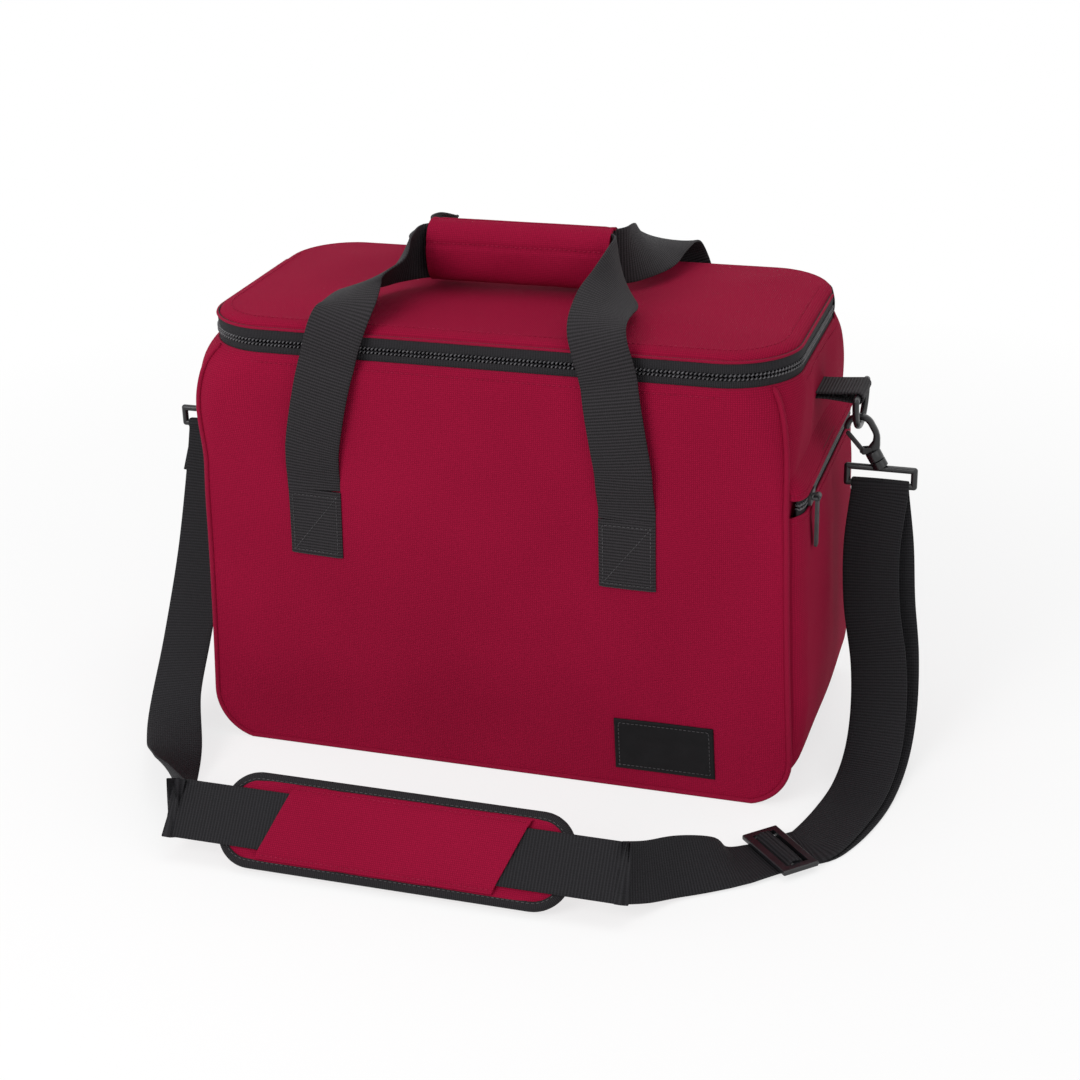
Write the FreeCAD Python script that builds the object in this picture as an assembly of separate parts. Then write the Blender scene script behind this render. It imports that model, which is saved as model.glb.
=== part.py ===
import FreeCAD, Part
import math
import os

V = FreeCAD.Vector

# Insulated cooler bag. Millimetres. X runs across the front, Y from front to back, Z up.
# The bag stands on Z = 0, centred on X = 0 and Y = 0, with its front panel towards -Y.

# ---- overall sizes ----
BAG_WIDTH = 400.0
BAG_DEPTH = 205.0
BODY_TOP = 289.0
# ---- outer fabric shell ----
FABRIC = 1.5
CORNER_LOW = 3.0            # plan radius of the piped upright corners
CORNER_TOP = 38.0           # plan radius at the zip
CORNER_FALL = 119.0         # the upright corners begin to round off this far below the top
BASE_CORNER = 36.0          # radius of the two lower corners of the front and back panels
SEAM_Y = 5.0                # how far the front and back panels wrap round to the gussets
PIPING_R = 2.2
PIPING_PROUD = 1.0
# ---- insulation, stiffener and liner ----
LAYER_GAP = 0.3
FOAM = 6.0
BOARD = 2.0
LINER = 1.0
FOAM_DROP = 13.0            # foam stops this far below the top of the fabric shell
# ---- main zip ----
ZIP_BAND = 15.0             # visible band between shell and lid
TAPE = 0.9
TAPE_TUCK = 10.0            # tape sewn under the fabric edge
ROW_H = 2.2                 # height of one coil row
ROW_T = 3.0                 # thickness of a coil row across the tape
ROW_PART = 1.6              # space between the two rows, for the slider's bridge
# ---- lid ----
LID_EDGE = 7.0              # height of the lid's edge above the zip band
LID_LINER = 0.8
HINGE_RISE = 0.6            # hinge line above the top of the shell
# ---- zip slider and pull, used for both zips ----
SLIDER_L = 15.0
SLIDER_PLATE = 2.0
SLIDER_HALF_H = 4.4
SLIDER_CLEAR = 0.3
ZIP_STOP = 1.5              # from the parked slider to the ends of the coil rows
BRIDGE_L = 4.0
BAIL_R = 0.9
BAIL_RISE = 2.9
BAIL_LEN = 9.0
PULL_L = 34.0
PULL_W = 7.0
PULL_T = 1.8
# ---- side pocket on the +X side ----
POCKET_BULGE = 9.0
POCKET_BOTTOM = 20.0
POCKET_DROP = 49.0          # pocket's top edge below the top of the shell
POCKET_ZIP_DROP = 28.0      # pocket's zip below its top edge
POCKET_BAND = 12.0
POCKET_TUCK = 6.0
POCKET_END_GAP = 8.0        # from the pocket's ends to the panel seams
POCKET_SLIDER_GAP = 14.0    # parked slider from the pocket's front end
# ---- webbing ----
WEB_W = 38.0
WEB_T = 1.6
# ---- carry handles ----
ANCHOR_L = 47.0             # length sewn to the panel
ANCHOR_DROP = 92.0          # top of the sewn length below the top of the shell
HANDLE_LEFT_X = -119.0
HANDLE_RIGHT_X = 97.0
GRIP_LEFT = -66.0
GRIP_RIGHT = 62.0
GRIP_GAP = 5.5              # finger gap between lid and grip
GRIP_WRAP = 2.0             # wrap above and below the webbing's edges
GRIP_HALF_T = 15.0
GRIP_WEB_Y = 3.2
STRIP_T = 2.0
# ---- shoulder strap hardware ----
RING_DROP = 30.0            # ring's bar below the top of the shell
RING_CLEAR = 19.0           # ring plane from the face of the pocket
RING_ARC = 23.0
RING_WIRE = 2.25
LOOP_W = 32.0
LOOP_R = 4.3
HOOK_TILT = 30.0
BOW_IN = 6.5
BOW_WIRE = 4.0
HOOK_DEPTH = 5.0
HOOK_SEAT = 0.8             # play between the bow and the ring it hangs from
SHANK = 14.0
STEM_R = 2.6
COLLAR_R = 5.2
COLLAR_H = 5.0
GATE_R = 1.6
GATE_SIDE = 0.7             # cheek beside the gate
PIN_R = 0.8
FRAME_PLAY = 2.0            # frame's inside wider than the webbing
FRAME_BAR = 4.4
FRAME_SLOT = 7.0
# ---- shoulder pad ----
PAD_L = 236.0
PAD_W = 62.0
PAD_T = 7.0
PAD_BIND = 3.2
SLEEVE_T = 1.2
SLEEVE_L = 176.0
SLEEVE_SLANT = 18.0
SLEEVE_LEDGE = 5.0
PAD_CORNER = 12.0
PAD_TRAVEL = 20.0
PAD_CENTRE = V(-17.0, -247.0, 32.6)
PAD_LEAN = 30.0
# ---- hanging runs of the shoulder strap ----
ROUTE_RING_Z = 259.0        # ring height for which the hanging runs were laid out
# ---- slider on the strap ----
TRI_W = 26.0
TRI_T = 3.6
TRI_BAR = 5.0
# ---- label ----
LABEL_W = 66.0
LABEL_H = 38.0
LABEL_T = 1.0
LABEL_X = 118.0
LABEL_Z = 34.0

# ---- derived ----
HALF_W = BAG_WIDTH / 2.0
HALF_D = BAG_DEPTH / 2.0
CORNER_START = BODY_TOP - CORNER_FALL
POCKET_TOP = BODY_TOP - POCKET_DROP
POCKET_ZIP_Z = POCKET_TOP - POCKET_ZIP_DROP
ANCHOR_TOP = BODY_TOP - ANCHOR_DROP
ANCHOR_BOTTOM = ANCHOR_TOP - ANCHOR_L
GRIP_HALF_H = WEB_W / 2.0 + GRIP_WRAP
RING_Z = BODY_TOP - RING_DROP
FRAME_IN_W = WEB_W + FRAME_PLAY
TRI_L = FRAME_IN_W + 2.0 * TRI_BAR
RUN_RISE = RING_Z / ROUTE_RING_Z
BAND_TOP = BODY_TOP + ZIP_BAND
LID_TOP = BAND_TOP + LID_EDGE
CHAIN_Z = BODY_TOP + ZIP_BAND / 2.0
TAPE_IN = FABRIC + LAYER_GAP
FOAM_IN = FABRIC + LAYER_GAP
FOAM_OUT = FOAM_IN + FOAM
LINER_IN = FOAM_OUT + LAYER_GAP
LINER_OUT = LINER_IN + LINER
FOAM_TOP = BODY_TOP - FOAM_DROP
BOARD_Z = FABRIC + LAYER_GAP
FOAM_Z = BOARD_Z + BOARD + LAYER_GAP
LINER_Z = FOAM_Z + FOAM + LAYER_GAP
ROW_IN = TAPE_IN + TAPE / 2.0 - ROW_T / 2.0
ZIP_END_Y = HALF_D - CORNER_TOP
RING_X = HALF_W + POCKET_BULGE + RING_CLEAR
GRIP_Z = LID_TOP + GRIP_GAP + GRIP_HALF_H
TALL = LID_TOP + 100.0


def box(x0, x1, y0, y1, z0, z1):
    """Box between two corners."""
    return Part.makeBox(x1 - x0, y1 - y0, z1 - z0, V(x0, y0, z0))


def rod(start, end, radius):
    """Round rod between two points."""
    return Part.makeCylinder(radius, (end - start).Length, start, end - start)


def ball(centre, radius):
    """Sphere at a point."""
    return Part.makeSphere(radius, centre)


def plan_wire(inset, radius, height):
    """Rounded rectangle of the bag's plan at one height, inset from the outside."""
    half_x = HALF_W - inset
    half_y = HALF_D - inset
    bend = max(radius - inset, 0.4)
    diagonal = bend * (1.0 - math.sqrt(0.5))
    corners = []
    for side_x, side_y in ((1, -1), (1, 1), (-1, 1), (-1, -1)):
        on_x = V(side_x * half_x, side_y * (half_y - bend), height)
        on_y = V(side_x * (half_x - bend), side_y * half_y, height)
        middle = V(side_x * (half_x - diagonal), side_y * (half_y - diagonal), height)
        swap = side_x * side_y > 0
        corners.append((on_x, middle, on_y) if swap else (on_y, middle, on_x))
    edges = []
    for index, corner in enumerate(corners):
        edges.append(Part.Arc(corner[0], corner[1], corner[2]).toShape())
        edges.append(Part.makeLine(corner[2], corners[(index + 1) % 4][0]))
    return Part.Wire(edges)


def face_profile(inset, bottom, top):
    """Front view of the bag: straight sides with two rounded lower corners, through its depth."""
    half = HALF_W - inset
    bend = BASE_CORNER - inset
    diagonal = bend * (1.0 - math.sqrt(0.5))
    reach = HALF_D + SEAM_Y
    left = Part.Arc(
        V(-half, -reach, bottom + bend),
        V(-half + diagonal, -reach, bottom + diagonal),
        V(-half + bend, -reach, bottom),
    ).toShape()
    right = Part.Arc(
        V(half - bend, -reach, bottom),
        V(half - diagonal, -reach, bottom + diagonal),
        V(half, -reach, bottom + bend),
    ).toShape()
    edges = [
        left,
        Part.makeLine(V(-half + bend, -reach, bottom), V(half - bend, -reach, bottom)),
        right,
        Part.makeLine(V(half, -reach, bottom + bend), V(half, -reach, top)),
        Part.makeLine(V(half, -reach, top), V(-half, -reach, top)),
        Part.makeLine(V(-half, -reach, top), V(-half, -reach, bottom + bend)),
    ]
    return Part.Face(Part.Wire(edges)).extrude(V(0, 2 * reach, 0))


def outline(inset, bottom, top):
    """The bag's outside, inset all round, from a bottom height to a top height."""
    lower = Part.makeLoft(
        [plan_wire(inset, CORNER_LOW, -1.0), plan_wire(inset, CORNER_LOW, CORNER_START)], True, True
    )
    middle = Part.makeLoft(
        [plan_wire(inset, CORNER_LOW, CORNER_START), plan_wire(inset, CORNER_TOP, BODY_TOP)], True, True
    )
    upper = Part.Face(plan_wire(inset, CORNER_TOP, BODY_TOP)).extrude(V(0, 0, TALL - BODY_TOP))
    solid = lower.fuse([middle, upper])
    return solid.common(face_profile(inset, bottom, top))


def ring(outer_inset, inner_inset, bottom, top):
    """Closed band that follows the bag's plan between two heights."""
    slab = box(-HALF_W - 9, HALF_W + 9, -HALF_D - 9, HALF_D + 9, bottom, top)
    band = outline(outer_inset, 0.0, TALL).cut(outline(inner_inset, -9.0, TALL + 9.0))
    return band.common(slab)


def zip_ring(outer_inset, inner_inset, bottom, top):
    """Band round the front and both sides, open across the back and its corners."""
    gap = box(-HALF_W - 9, HALF_W + 9, ZIP_END_Y, HALF_D + 9, bottom - 1, top + 1)
    return ring(outer_inset, inner_inset, bottom, top).cut(gap)


def ribbon(stations, width, thickness):
    """Flat webbing through stations of (centre, width direction), as one ruled loft."""
    wires = []
    last = len(stations) - 1
    for index, (centre, across) in enumerate(stations):
        ahead = stations[min(index + 1, last)][0] - stations[max(index - 1, 0)][0]
        side = V(across).normalize()
        normal = ahead.cross(side).normalize()
        side = normal.cross(ahead).normalize()
        a = side * (width / 2.0)
        b = normal * (thickness / 2.0)
        ring_points = [centre - a - b, centre + a - b, centre + a + b, centre - a + b, centre - a - b]
        wires.append(Part.makePolygon(ring_points))
    return Part.makeLoft(wires, True, True)


def largest(shape):
    """The biggest solid of a shape."""
    return max(shape.Solids, key=lambda solid: solid.Volume)


def mirror_x(shape):
    """Copy on the other side of the X = 0 plane."""
    return shape.mirror(V(0, 0, 0), V(1, 0, 0))


def mirror_y(shape):
    """Copy on the other side of the Y = 0 plane."""
    return shape.mirror(V(0, 0, 0), V(0, 1, 0))


NODES = {}


def add(name, shape):
    """Keep one node."""
    NODES[name] = shape


# ---- piping on the edges of the front and back panels ----
pipe_x = HALF_W - PIPING_R + PIPING_PROUD
pipe_y = HALF_D - PIPING_R + PIPING_PROUD
pipe_bend = BASE_CORNER - PIPING_R + PIPING_PROUD
lean_in = (CORNER_TOP - CORNER_LOW) * (1.0 - math.sqrt(0.5))
pipe_end_z = BODY_TOP - TAPE_TUCK
lean_part = lean_in * (pipe_end_z - CORNER_START) / (BODY_TOP - CORNER_START)


def piping(y_side):
    """U-shaped cord of piping on one panel, leaning in where the corners round off."""
    y_edge = y_side * pipe_y
    run = pipe_x - pipe_bend
    parts = [rod(V(-run, y_edge, PIPING_R), V(run, y_edge, PIPING_R), PIPING_R)]
    for side in (-1, 1):
        centre = V(side * (pipe_x - pipe_bend), y_edge, PIPING_R + pipe_bend)
        section = Part.Face(Part.Wire(Part.makeCircle(PIPING_R, centre - V(0, 0, pipe_bend), V(1, 0, 0))))
        parts.append(section.revolve(centre, V(0, -side, 0), 90.0))
        elbow = V(side * pipe_x, y_edge, CORNER_START)
        tip = V(side * (pipe_x - lean_part), y_side * (pipe_y - lean_part), pipe_end_z)
        parts.append(rod(V(side * pipe_x, y_edge, PIPING_R + pipe_bend), elbow, PIPING_R))
        parts.append(ball(elbow, PIPING_R))
        parts.append(rod(elbow, tip, PIPING_R))
    return largest(parts[0].fuse(parts[1:]).removeSplitter())


piping_front = piping(-1)
piping_back = piping(1)
add("piping_front", piping_front)
add("piping_back", piping_back)

# ---- outer fabric: front, back, two gussets and base ----
shell = outline(0.0, 0.0, BODY_TOP).cut(outline(FABRIC, FABRIC, TALL))
shell = shell.cut(piping_front).cut(piping_back)
far = HALF_W + 20.0
front_cut = box(-far, far, -far, -HALF_D + SEAM_Y, -1, TALL)
back_cut = box(-far, far, HALF_D - SEAM_Y, far, -1, TALL)
side_band = shell.cut(front_cut).cut(back_cut)
base_half = HALF_W - BASE_CORNER
base_cut = box(-base_half, base_half, -far, far, -1, FABRIC + 1.0)
add("front_panel", largest(shell.common(front_cut)))
add("back_panel", largest(shell.common(back_cut)))
add("base_panel", largest(side_band.common(base_cut)))
side_band = side_band.cut(base_cut)
add("gusset_left", largest(side_band.common(box(-far, 0, -far, far, -1, TALL))))
add("gusset_right", largest(side_band.common(box(0, far, -far, far, -1, TALL))))

# ---- insulation, base board and liner ----
insulation = outline(FOAM_IN, FOAM_Z, FOAM_TOP).cut(outline(FOAM_OUT, FOAM_Z + FOAM, TALL))
insulation = insulation.cut(piping_front).cut(piping_back)
foam_front_cut = box(-far, far, -far, -HALF_D + FOAM_OUT, -1, TALL)
foam_back_cut = box(-far, far, HALF_D - FOAM_OUT, far, -1, TALL)
add("foam_front", largest(insulation.common(foam_front_cut)))
add("foam_back", largest(insulation.common(foam_back_cut)))
foam_sides = insulation.cut(foam_front_cut).cut(foam_back_cut)
foam_base_cut = box(-base_half, base_half, -far, far, -1, FOAM_Z + FOAM + 1.0)
add("foam_base", largest(foam_sides.common(foam_base_cut)))
foam_sides = foam_sides.cut(foam_base_cut)
add("foam_left", largest(foam_sides.common(box(-far, 0, -far, far, -1, TALL))))
add("foam_right", largest(foam_sides.common(box(0, far, -far, far, -1, TALL))))
board_x = HALF_W - BASE_CORNER
board_y = HALF_D - PIPING_R * 2 - LAYER_GAP
add("base_board", box(-board_x, board_x, -board_y, board_y, BOARD_Z, BOARD_Z + BOARD))
liner = outline(LINER_IN, LINER_Z, FOAM_TOP).cut(outline(LINER_OUT, LINER_Z + LINER, TALL))
add("liner", largest(liner))
binding_in = TAPE_IN + TAPE + LAYER_GAP
add("rim_binding", largest(ring(binding_in, LINER_OUT, FOAM_TOP + LAYER_GAP, BODY_TOP)))

# ---- main zip ----
row_low = CHAIN_Z - ROW_PART / 2.0 - ROW_H
row_high = CHAIN_Z + ROW_PART / 2.0
tape_in_end = TAPE_IN + TAPE
row_out = ROW_IN + ROW_T
body_tape = zip_ring(TAPE_IN, tape_in_end, BODY_TOP - TAPE_TUCK, row_low + ROW_H)
add("zip_chain_body", largest(body_tape.fuse(zip_ring(ROW_IN, row_out, row_low, row_low + ROW_H))))

# the lid's row stops short of the parked slider, and its tape passes above it
park_y = ZIP_END_Y - ZIP_STOP - SLIDER_L / 2.0
park_front = park_y - SLIDER_L / 2.0 - ZIP_STOP
slider_top = CHAIN_Z + SLIDER_HALF_H + SLIDER_CLEAR
lid_tape = zip_ring(TAPE_IN, tape_in_end, row_high, LID_TOP - FABRIC - 2.0)
lid_row = zip_ring(ROW_IN, row_out, row_high, row_high + ROW_H)
park_window = box(-far, 0, park_front, far, row_low, slider_top)
add("zip_chain_lid", largest(lid_tape.fuse(lid_row).cut(park_window)))

# ---- lid ----
cover = outline(0.0, 0.0, LID_TOP).cut(outline(FABRIC, -9.0, LID_TOP - FABRIC))
cover = cover.common(box(-far, far, -far, far, BAND_TOP, LID_TOP))
add("lid_cover", largest(cover))
lid_floor = slider_top + LAYER_GAP
lid_liner = outline(binding_in, 0.0, lid_floor + LID_LINER).common(
    box(-far, far, -far, far, lid_floor, lid_floor + LID_LINER)
)
add("lid_liner", largest(lid_liner))
lid_foam_z = lid_floor + LID_LINER + LAYER_GAP
lid_foam = outline(binding_in, 0.0, LID_TOP - FABRIC - LAYER_GAP).common(
    box(-far, far, -far, far, lid_foam_z, LID_TOP)
)
add("lid_foam", largest(lid_foam))
hinge_z = BODY_TOP + HINGE_RISE
back_zone = box(-far, far, ZIP_END_Y + 1.0, far, hinge_z, TALL)
hinge = ring(TAPE_IN, tape_in_end, hinge_z, LID_TOP - FABRIC - 2.0).common(back_zone)
add("lid_hinge_strip", largest(hinge))


def zip_slider(centre, outward, travel):
    """Slider of two plates joined by a bridge between the coil rows, with a bail along its travel."""
    plate_in = ROW_T / 2.0 + SLIDER_CLEAR
    up = V(0, 0, 1)

    def block(out0, out1, along, half_up):
        corner = centre + outward * out0 - travel * (along / 2.0) - up * half_up
        far_corner = centre + outward * out1 + travel * (along / 2.0) + up * half_up
        low = V(min(corner.x, far_corner.x), min(corner.y, far_corner.y), min(corner.z, far_corner.z))
        size = V(abs(far_corner.x - corner.x), abs(far_corner.y - corner.y), abs(far_corner.z - corner.z))
        return Part.makeBox(size.x, size.y, size.z, low)

    outer = block(plate_in, plate_in + SLIDER_PLATE, SLIDER_L, SLIDER_HALF_H)
    inner = block(-plate_in - SLIDER_PLATE, -plate_in, SLIDER_L, SLIDER_HALF_H)
    bridge = block(-plate_in - 0.1, plate_in + 0.1, BRIDGE_L, ROW_PART / 2.0 - SLIDER_CLEAR)
    edges = [edge for edge in outer.Edges if abs(edge.tangentAt(edge.FirstParameter).dot(outward)) > 0.9]
    outer = outer.makeFillet(SLIDER_HALF_H * 0.5, edges)
    face = centre + outward * (plate_in + SLIDER_PLATE)
    axis = face + outward * BAIL_RISE
    half = travel * (BAIL_LEN / 2.0)
    bail = rod(axis - half, axis + half, BAIL_R)
    legs = [rod(face + half * s - outward * 0.5, axis + half * s, BAIL_R) for s in (-1, 1)]
    knuckles = [ball(axis + half * s, BAIL_R) for s in (-1, 1)]
    return largest(outer.fuse([inner, bridge, bail] + legs + knuckles)), axis


def zip_pull(axis, outward, travel):
    """Flat pull that hangs from the bail by its eye."""
    eye_r = BAIL_R + 0.35
    rim = eye_r + 1.2
    half = travel * (PULL_W / 2.0 - 1.0)
    eye = rod(axis - half, axis + half, rim)
    drop = axis - V(0, 0, PULL_L / 2.0)
    along = abs(travel.y) * PULL_W / 2.0
    thick = PULL_T / 2.0
    plate = box(
        drop.x - thick, drop.x + thick, drop.y - along, drop.y + along,
        axis.z - PULL_L, axis.z - rim * 0.5,
    )
    edges = [edge for edge in plate.Edges if abs(edge.tangentAt(edge.FirstParameter).dot(outward)) > 0.9]
    plate = plate.makeFillet(PULL_T, edges)
    bore = rod(axis - travel * PULL_W, axis + travel * PULL_W, eye_r)
    return largest(eye.fuse(plate).cut(bore))


slider_x = -(HALF_W - TAPE_IN - TAPE / 2.0)
slider, bail_axis = zip_slider(V(slider_x, park_y, CHAIN_Z), V(-1, 0, 0), V(0, 1, 0))
add("zip_slider", slider)
add("zip_pull", zip_pull(bail_axis, V(-1, 0, 0), V(0, 1, 0)))

# ---- side pocket ----
pocket_x = HALF_W + POCKET_BULGE
pocket_y = HALF_D - POCKET_END_GAP
band_low = POCKET_ZIP_Z - POCKET_BAND / 2.0
band_high = POCKET_ZIP_Z + POCKET_BAND / 2.0
pocket_outer = box(HALF_W, pocket_x, -pocket_y, pocket_y, POCKET_BOTTOM, POCKET_TOP)
round_edges = [
    edge for edge in pocket_outer.Edges
    if edge.BoundBox.XMin > pocket_x - 0.1 and edge.Length > 1.0
]
pocket_outer = pocket_outer.makeFillet(POCKET_BULGE * 0.6, round_edges)
pocket_inner = box(
    HALF_W - 1, pocket_x - FABRIC, -pocket_y + FABRIC, pocket_y - FABRIC,
    POCKET_BOTTOM + FABRIC, POCKET_TOP - FABRIC,
)
inner_edges = [
    edge for edge in pocket_inner.Edges
    if edge.BoundBox.XMin > pocket_x - FABRIC - 0.1 and edge.Length > 1.0
]
pocket_inner = pocket_inner.makeFillet(POCKET_BULGE * 0.6 - FABRIC, inner_edges)
pocket = pocket_outer.cut(pocket_inner)
face_zone = box(HALF_W + POCKET_BULGE * 0.4, far, -far, far, band_low, band_high)
pocket = pocket.cut(face_zone)
add("pocket_panel", largest(pocket.common(box(HALF_W, far, -far, far, 0, band_high))))
add("pocket_facing", largest(pocket.common(box(HALF_W, far, -far, far, band_high, TALL))))
pocket_tape_x = pocket_x - FABRIC - LAYER_GAP
pocket_tape_half = pocket_y - POCKET_BULGE * 0.6 - 1.0
p_row_low = POCKET_ZIP_Z - ROW_PART / 2.0 - ROW_H
p_row_high = POCKET_ZIP_Z + ROW_PART / 2.0
p_row_x = pocket_tape_x - TAPE / 2.0
for name, low, high, row in (
    ("pocket_chain_lower", band_low - POCKET_TUCK, p_row_low + ROW_H, p_row_low),
    ("pocket_chain_upper", p_row_high, band_high + POCKET_TUCK, p_row_high),
):
    tape = box(pocket_tape_x - TAPE, pocket_tape_x, -pocket_tape_half, pocket_tape_half, low, high)
    coil = box(
        p_row_x - ROW_T / 2.0, p_row_x + ROW_T / 2.0,
        -pocket_tape_half, pocket_tape_half, row, row + ROW_H,
    )
    add(name, largest(tape.fuse(coil)))
pocket_park_y = -pocket_y + POCKET_SLIDER_GAP + SLIDER_L / 2.0
slider, bail_axis = zip_slider(V(p_row_x, pocket_park_y, POCKET_ZIP_Z), V(1, 0, 0), V(0, 1, 0))
add("pocket_slider", slider)
add("pocket_pull", zip_pull(bail_axis, V(1, 0, 0), V(0, 1, 0)))

# ---- carry handles: anchors sewn to the panels, then a loop that swings at their tops ----
web_y = -HALF_D - LAYER_GAP - WEB_T / 2.0
for name, x_mid in (("left", HANDLE_LEFT_X), ("right", HANDLE_RIGHT_X)):
    anchor = box(
        x_mid - WEB_W / 2.0, x_mid + WEB_W / 2.0,
        web_y - WEB_T / 2.0, -HALF_D, ANCHOR_BOTTOM, ANCHOR_TOP,
    )
    add("front_anchor_" + name, anchor)
    add("back_anchor_" + name, mirror_y(anchor))


def leg(anchor_x, grip_x, side):
    """One leg of a handle loop, from its anchor over the lid's edge into the grip."""
    over = LID_TOP + WEB_T
    return [
        (V(anchor_x, web_y, ANCHOR_TOP + LAYER_GAP), V(1, 0, 0)),
        (V(anchor_x, web_y, ANCHOR_TOP + 7.0), V(1, 0, 0)),
        (V(anchor_x - side * 2.0, web_y - 4.0, ANCHOR_TOP + 40.0), V(1, 0, side * 0.1)),
        (V(anchor_x - side * 10.0, web_y - 6.0, BODY_TOP), V(1, 0, side * 0.28)),
        (V(anchor_x - side * 17.0, web_y - 3.5, over), V(1, 0, side * 0.30)),
        (V(anchor_x - side * 22.0, web_y + 8.0, over + 12.0), V(1, side * 0.1, side * 0.28)),
        (V(anchor_x - side * 26.0, web_y + 34.0, over + 17.0), V(1, side * 0.25, side * 0.1)),
        (V(grip_x + side * 19.0, -44.0, GRIP_Z - 3.0), V(0.62, side * 0.3, -side * 0.7)),
        (V(grip_x + side * 8.0, -16.0, GRIP_Z), V(0.15, side * 0.1, -side * 0.98)),
        (V(grip_x - side * 6.0, -GRIP_WEB_Y, GRIP_Z), V(0, 0, -side * 1.0)),
    ]


left_leg = ribbon(leg(HANDLE_LEFT_X, GRIP_LEFT, -1), WEB_W, WEB_T)
right_leg = ribbon(leg(HANDLE_RIGHT_X, GRIP_RIGHT, 1), WEB_W, WEB_T)
core = box(
    GRIP_LEFT + 5.5, GRIP_RIGHT - 5.5, -GRIP_WEB_Y - WEB_T / 2.0, -GRIP_WEB_Y + WEB_T / 2.0,
    GRIP_Z - WEB_W / 2.0, GRIP_Z + WEB_W / 2.0,
)
handle = largest(left_leg.fuse([core, right_leg]))
add("front_handle_webbing", handle)
add("back_handle_webbing", mirror_y(handle))
grip = Part.Ellipse(V(0, 0, 0), GRIP_HALF_H, GRIP_HALF_T).toShape()
grip = Part.Face(Part.Wire(grip)).extrude(V(0, 0, GRIP_RIGHT - GRIP_LEFT))
upright = FreeCAD.Rotation(V(0, 0, 1), V(0, -1, 0), V(1, 0, 0), "ZXY")
grip.Placement = FreeCAD.Placement(V(GRIP_LEFT, 0, GRIP_Z), upright)
slot_y = GRIP_WEB_Y + WEB_T / 2.0 + LAYER_GAP
slot_z = WEB_W / 2.0 + LAYER_GAP
grip_half = grip.common(box(-far, far, -far, -LAYER_GAP / 2.0, 0, TALL))
grip_half = grip_half.cut(box(-far, far, -slot_y, far, GRIP_Z - slot_z, GRIP_Z + slot_z))
leg_room = ribbon(leg(HANDLE_LEFT_X, GRIP_LEFT, -1), WEB_W + 2 * LAYER_GAP, WEB_T + 2 * LAYER_GAP)
leg_room_right = ribbon(leg(HANDLE_RIGHT_X, GRIP_RIGHT, 1), WEB_W + 2 * LAYER_GAP, WEB_T + 2 * LAYER_GAP)
grip_half = grip_half.cut(leg_room).cut(leg_room_right)
add("grip_wrap_front", largest(grip_half))
add("grip_wrap_back", mirror_y(largest(grip_half)))
strip = box(
    GRIP_LEFT + 12.0, GRIP_RIGHT - 12.0, -GRIP_WEB_Y + WEB_T / 2.0, -GRIP_WEB_Y + WEB_T / 2.0 + STRIP_T,
    GRIP_Z - WEB_W * 0.35, GRIP_Z + WEB_W * 0.35,
)
add("grip_hook_strip", strip)
add("grip_loop_strip", mirror_y(strip))

# ---- D-rings in their webbing loops ----
loop_reach = RING_X - HALF_W
loop_bore = RING_WIRE + 0.35
bar_axis = V(0, 1, 0)
loop = box(HALF_W, RING_X, -LOOP_W / 2.0, LOOP_W / 2.0, RING_Z - WEB_T, RING_Z + WEB_T)
loop = loop.fuse(Part.makeCylinder(LOOP_R, LOOP_W, V(RING_X, -LOOP_W / 2.0, RING_Z), bar_axis))
bore = Part.makeCylinder(loop_bore, LOOP_W + 2, V(RING_X, -LOOP_W / 2.0 - 1, RING_Z), bar_axis)
loop = largest(loop.cut(bore))
add("strap_loop_right", loop)
add("strap_loop_left", mirror_x(loop))
for name, x_at in (("d_ring_right", RING_X), ("d_ring_left", -RING_X)):
    wire = Part.Face(Part.Wire(Part.makeCircle(RING_WIRE, V(x_at, -RING_ARC, RING_Z), V(0, 0, 1))))
    arc = wire.revolve(V(x_at, 0, RING_Z), V(1, 0, 0), 180.0)
    bar = rod(V(x_at, -RING_ARC, RING_Z), V(x_at, RING_ARC, RING_Z), RING_WIRE)
    ends = [ball(V(x_at, side * RING_ARC, RING_Z), RING_WIRE) for side in (-1, 1)]
    add(name, largest(bar.fuse([arc] + ends)))

# ---- snap hooks: bow, spring gate and swivel frame, drawn upright round the bow's centre ----
bow_out = BOW_IN + BOW_WIRE
half_depth = HOOK_DEPTH / 2.0
bow_z = RING_Z - RING_ARC - (BOW_IN - RING_WIRE - HOOK_SEAT)
shank_low = -bow_out - SHANK
collar_top = shank_low - 0.3
collar_low = collar_top - COLLAR_H
gate_x = -(bow_out - BOW_WIRE / 2.0)
pivot = V(gate_x + 3.0, 0, -BOW_IN - 8.0)
gate_tip = V(gate_x, 0, 0.5)
gate_half = half_depth - 0.6 - GATE_SIDE


def across_disc(radius, x, z, depth):
    """Disc that faces along Y."""
    return Part.makeCylinder(radius, depth, V(x, -depth / 2.0, z), V(0, 1, 0))


shank = box(-bow_out * 0.62, bow_out, -half_depth, half_depth, shank_low, 0)
bow = across_disc(bow_out, 0, 0, HOOK_DEPTH).fuse(shank).cut(across_disc(BOW_IN, 0, 0, far))
mouth = box(-bow_out - 1, -BOW_IN * 0.55, -far, far, pivot.z + 2.5, 0.5 + GATE_R + 0.4)
bow = bow.cut(mouth)
gate_room = box(-bow_out - 1, pivot.x + 3.0, -gate_half - 0.3, gate_half + 0.3, pivot.z - 2.6, 2.0)
bow = bow.cut(gate_room)
stem_bore = Part.makeCylinder(STEM_R + 0.3, far, V(0, 0, shank_low - 1), V(0, 0, 1))
stem_bore = stem_bore.common(box(-far, far, -far, far, shank_low - 2, shank_low + 5.0))
head_room = Part.makeCylinder(STEM_R + 1.8, 3.0, V(0, 0, shank_low + 3.0), V(0, 0, 1))
barrel = Part.makeCylinder(COLLAR_R, 7.0, V(0, 0, shank_low), V(0, 0, 1))
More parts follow.
